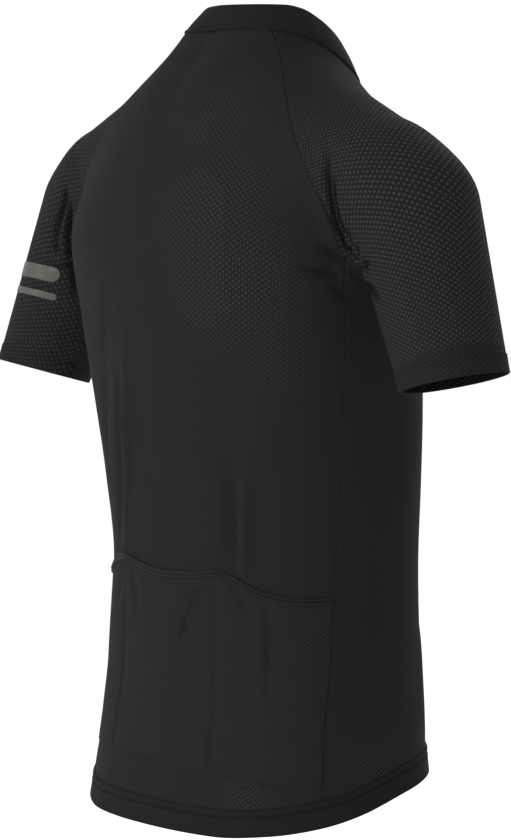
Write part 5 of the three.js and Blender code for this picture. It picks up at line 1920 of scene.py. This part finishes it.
@dataclass
class FrontZip:
    """Closed front zip: tapes, moulded teeth, slider and its hanging pull tab."""

    collar: Collar
    tape_outer: float = -1.6
    tape_thick: float = 0.9
    tape_from: float = 1.2
    tooth_pitch: float = 2.5
    tooth: tuple[float, float, float] = (3.0, 1.5, 1.6)
    slider_length: float = 9.0
    slider_half: float = 4.5
    slider_level: float = 0.55
    slider_below: float = 5.0
    top_into_slider: float = 1.6
    bottom_gap: float = 2.0

    def opening(self, xs: Sequence[float], rows: int = 170) -> Grid:
        """Strip of the front opening at set distances from the middle, from collar top to hem."""
        foot = float(band_top(FRONT_MIDDLE_ANGLE)) - BAND_HEIGHT
        columns = []
        for x in xs:
            seam, top = self.collar.edge_angles(x)
            height = np.linspace(1, 0.02, 14)
            upper = self.collar.point(np.full(14, seam), np.full(14, top), height)
            z = np.linspace(float(FORM.on_neck(np.array(seam))[2]), foot, rows)
            columns.append(np.vstack([upper, FORM.on_front(x, z)]))
        return grid_through(np.stack(columns, axis=1))

    def tapes(self, finishes: Finishes) -> None:
        """Makes both tapes and the rows of stitches that hold them.

        Args:
            finishes: The garment's materials.
        """
        grid = self.opening((self.tape_from, FRONT_EDGE_X, 9.0, TAPE_EDGE_X))
        for side in Side:
            mirror = np.array([side.value, 1, 1])
            one = Grid(grid.points * mirror, grid.normals * mirror)
            piece = cloth_mesh(f"tape_{side.word}_cloth", one.raised(self.tape_outer))
            flat = cut_by_lengths(piece, one)
            shell(piece, self.tape_thick)
            Dressing("zip_tape", (f"zip_tape_{side.word}",)).apply(piece, finishes.tape)
            line, out = one.points[:, 2] + one.normals[:, 2] * 0.1, one.normals[:, 2]
            threads = stitched(f"zip_{side.word}_stitches", [(line[1:-1], out[1:-1])], Stitching())
            Dressing("body_knit").apply(threads, finishes.thread)

    def slider_frame(self) -> tuple[Array, Array, Array]:
        """Place of the slider with its directions up and out."""
        middle = np.array(180.0)
        upper = self.collar.point(middle, middle, np.array(1.0))
        lower = self.collar.point(middle, middle, np.array(self.slider_level))
        up = (upper - lower) / np.linalg.norm(upper - lower)
        return upper - up * self.slider_below, up, np.array([0, -up[2], up[1]])

    def teeth(self, finishes: Finishes) -> None:
        """Makes the closed row of interlocked teeth.

        Args:
            finishes: The garment's materials.
        """
        origin, up, _ = self.slider_frame()
        line = self.opening((0.6, self.tape_from))
        points = line.points[:, 0] * np.array([0, 1, 1])
        normals = line.normals[:, 0] * np.array([0, 1, 1])
        below = (points - origin) @ up < self.slider_length / 2 - 2
        points, normals = points[below], normals[below]
        normals /= np.linalg.norm(normals, axis=1, keepdims=True)
        run = np.concatenate([[0], np.cumsum(np.linalg.norm(np.diff(points, axis=0), axis=1))])
        bm = bmesh.new()
        wide, deep, tall = self.tooth
        at = 0.6
        hand = 1
        while at < run[-1] - self.bottom_gap - tall:
            place = np.array([np.interp(at, run, points[:, k]) for k in range(3)])
            ahead = np.array([np.interp(at + 1, run, points[:, k]) for k in range(3)])
            out = np.array([np.interp(at, run, normals[:, k]) for k in range(3)])
            down = Vector(ahead - place).normalized()
            out = Vector(out)
            out = (out - down * out.dot(down)).normalized()
            turn = Matrix((down.cross(out), out, down)).transposed().to_4x4()
            shift = Vector(place) - out * (0.4 + deep / 2) + Vector((hand * 0.75, 0, 0))
            size = Matrix.Diagonal((wide, deep, tall * 0.72, 1))
            matrix = Matrix.Scale(MM, 4) @ Matrix.Translation(shift) @ turn @ size
            made = bmesh.ops.create_cube(bm, size=1.0, matrix=matrix)
            edges = {edge for vert in made["verts"] for edge in vert.link_edges}
            bmesh.ops.bevel(bm, geom=list(edges), offset=0.32 * MM, offset_type="OFFSET", affect="EDGES",
                            segments=1, profile=0.5, material=-1, clamp_overlap=True)
            at += self.tooth_pitch / 2
            hand = -hand
        piece = finished("zip_teeth", bm)
        piece.data.shade_flat()
        Dressing("zip_teeth", ("zip_chain",)).apply(piece, finishes.teeth)

    def slider(self, finishes: Finishes) -> None:
        """Makes the slider's two plates, post and bridge.

        Args:
            finishes: The garment's materials.
        """
        origin, up, out = self.slider_frame()
        bm = bmesh.new()
        half, length = self.slider_half, self.slider_length
        self.block(bm, (2 * half, length, 1.2), (0, 0, 1.2), 0.45)
        self.block(bm, (2 * half, length, 1.2), (0, 0, -4.0), 0.45)
        self.block(bm, (3.6, 2.2, 5.6), (0, 3.0, -1.4), 0.3)
        self.block(bm, (1.6, 1.2, 3.4), (0, 1.9, 3.2), 0.25)
        self.block(bm, (1.6, 1.2, 3.4), (0, -1.9, 3.2), 0.25)
        self.block(bm, (1.6, 5.0, 1.0), (0, 0, 4.5), 0.3)
        sideways = Vector((1, 0, 0))
        turn = Matrix((sideways, Vector(up), Vector(out))).transposed().to_4x4()
        bmesh.ops.transform(
            bm, matrix=Matrix.Scale(MM, 4) @ Matrix.Translation(Vector(origin)) @ turn, verts=bm.verts)
        Dressing("zip_metal", ("zip_slider",)).apply(finished("slider_body", bm), finishes.metal)

    @staticmethod
    def block(bm: bmesh.types.BMesh, size: tuple[float, ...], centre: tuple[float, ...], soft: float) -> None:
        """Adds a block with rounded edges.

        Args:
            bm: Mesh that takes it.
            size: Lengths along X, Y and Z.
            centre: Middle of the block.
            soft: Radius of its edges.
        """
        matrix = Matrix.Translation(Vector(centre)) @ Matrix.Diagonal((*size, 1))
        made = bmesh.ops.create_cube(bm, size=1.0, matrix=matrix)
        edges = {edge for vert in made["verts"] for edge in vert.link_edges}
        bmesh.ops.bevel(bm, geom=list(edges), offset=soft, offset_type="OFFSET", affect="EDGES", segments=3,
                        profile=0.5, material=-1, clamp_overlap=True)

    def pull(self, finishes: Finishes) -> None:
        """Makes the pull tab that hangs from the slider's bridge.

        Args:
            finishes: The garment's materials.
        """
        low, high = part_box("zip_pull")
        hinge = Vector(frame["joints"][0]["pos_m"])
        bm = bmesh.new()
        span = (high.x - low.x) / MM
        bmesh.ops.create_cone(
            bm, cap_ends=True, segments=16, radius1=0.75, radius2=0.75, depth=4.8,
            matrix=Matrix.Rotation(math.pi / 2, 4, "Y"))
        for hand in (-1, 1):
            self.block(bm, (1.2, 1.2, 5.2), (hand * 1.78, 0, -2.2), 0.3)
        foot = (low.z - hinge.z) / MM
        tab = (-4.6 + foot) / 2
        self.block(bm, (span, 1.2, -4.6 - foot), (0, 0, tab), 0.5)
        for k in range(4):
            self.block(bm, (span * 0.62, 1.6, 0.9), (0, 0, foot + 4.0 + 2.2 * k), 0.35)
        bmesh.ops.transform(bm, matrix=Matrix.Translation(hinge) @ Matrix.Scale(MM, 4), verts=bm.verts)
        Dressing("zip_metal", ("zip_pull",), Body.PULL).apply(finished("pull_tab", bm), finishes.metal)

    def build(self, finishes: Finishes) -> None:
        """Makes the whole zip.

        Args:
            finishes: The garment's materials.
        """
        self.tapes(finishes)
        self.teeth(finishes)
        self.slider(finishes)
        self.pull(finishes)


# Studio


@dataclass(frozen=True)
class SoftLight:
    """A square soft light that looks at the garment."""

    name: str
    azimuth: float
    elevation: float
    distance: float
    size: float
    power: float

    def build(self, target: Vector) -> None:
        """Adds the light.

        Args:
            target: Point it looks at.
        """
        data = bpy.data.lights.new(self.name, "AREA")
        data.shape = "SQUARE"
        data.size = self.size
        data.energy = self.power
        light = bpy.data.objects.new(self.name, data)
        light.location = target + seen_from(self.azimuth, self.elevation) * self.distance
        light.rotation_euler = (target - light.location).to_track_quat("-Z", "Y").to_euler()
        bpy.context.scene.collection.objects.link(light)


def seen_from(azimuth: float, elevation: float) -> Vector:
    """Direction from the garment to a viewer; azimuth 0 is the front and 180 the back."""
    a, e = math.radians(azimuth), math.radians(elevation)
    return Vector((math.sin(a) * math.cos(e), -math.cos(a) * math.cos(e), math.sin(e)))


@dataclass
class Studio:
    """Camera at the photograph's angle, soft lights and a plain pale floor."""

    azimuth: float = 233.0
    elevation: float = 3.6
    distance: float = 3.0
    target: tuple[float, float, float] = (-0.00566, 0.00949, -0.34455)
    lens: float = 140.3
    floor_height: float = -1.2
    floor_radius: float = 40.0
    world: float = 1.06
    lights: tuple[SoftLight, ...] = (
        SoftLight("left_side", 150, 10, 2.6, 1.4, 29), SoftLight("high_back", 175, 30, 2.6, 1.4, 13),
        SoftLight("key", 210, 15, 2.6, 1.4, 50), SoftLight("front_key", 20, 35, 2.6, 1.6, 16),
    )

    def build(self) -> None:
        """Sets up the camera, the lights, the world and the floor."""
        scene = bpy.context.scene
        target = Vector(self.target)
        data = bpy.data.cameras.new("camera")
        data.lens = self.lens
        data.sensor_width = 36.0
        camera = bpy.data.objects.new("camera", data)
        camera.location = target + seen_from(self.azimuth, self.elevation) * self.distance
        camera.rotation_euler = (target - camera.location).to_track_quat("-Z", "Y").to_euler()
        scene.collection.objects.link(camera)
        scene.camera = camera
        for light in self.lights:
            light.build(target)
        scene.view_settings.view_transform = "Standard"
        world = bpy.data.worlds.new("studio")
        world.use_nodes = True
        background = world.node_tree.nodes["Background"]
        background.inputs["Color"].default_value = (1, 1, 1, 1)
        background.inputs["Strength"].default_value = self.world
        scene.world = world
        bm = bmesh.new()
        bmesh.ops.create_circle(bm, cap_ends=True, segments=64, radius=self.floor_radius,
                                matrix=Matrix.Translation((0, 0, self.floor_height)))
        floor = finished("studio_floor", bm)
        floor.data.materials.append(FloorFinish().material())


def main() -> None:
    """Builds the dressed garment and the studio."""
    logging.basicConfig(level=logging.INFO, format="%(name)s %(message)s")
    Studio().build()
    finishes = Finishes()
    seams = SeamPlan(fine=6)
    panels = BackAndFronts(seams)
    panels.build(finishes)
    sleeves = Sleeves(seams)
    sleeves.build(finishes)
    ReflectiveBars(sleeves).build(finishes)
    Pockets(panels).build(finishes)
    HemBand(panels).build(finishes)
    collar = Collar()
    collar.build(finishes)
    FrontZip(collar).build(finishes)


if __name__ == "__main__":
    main()
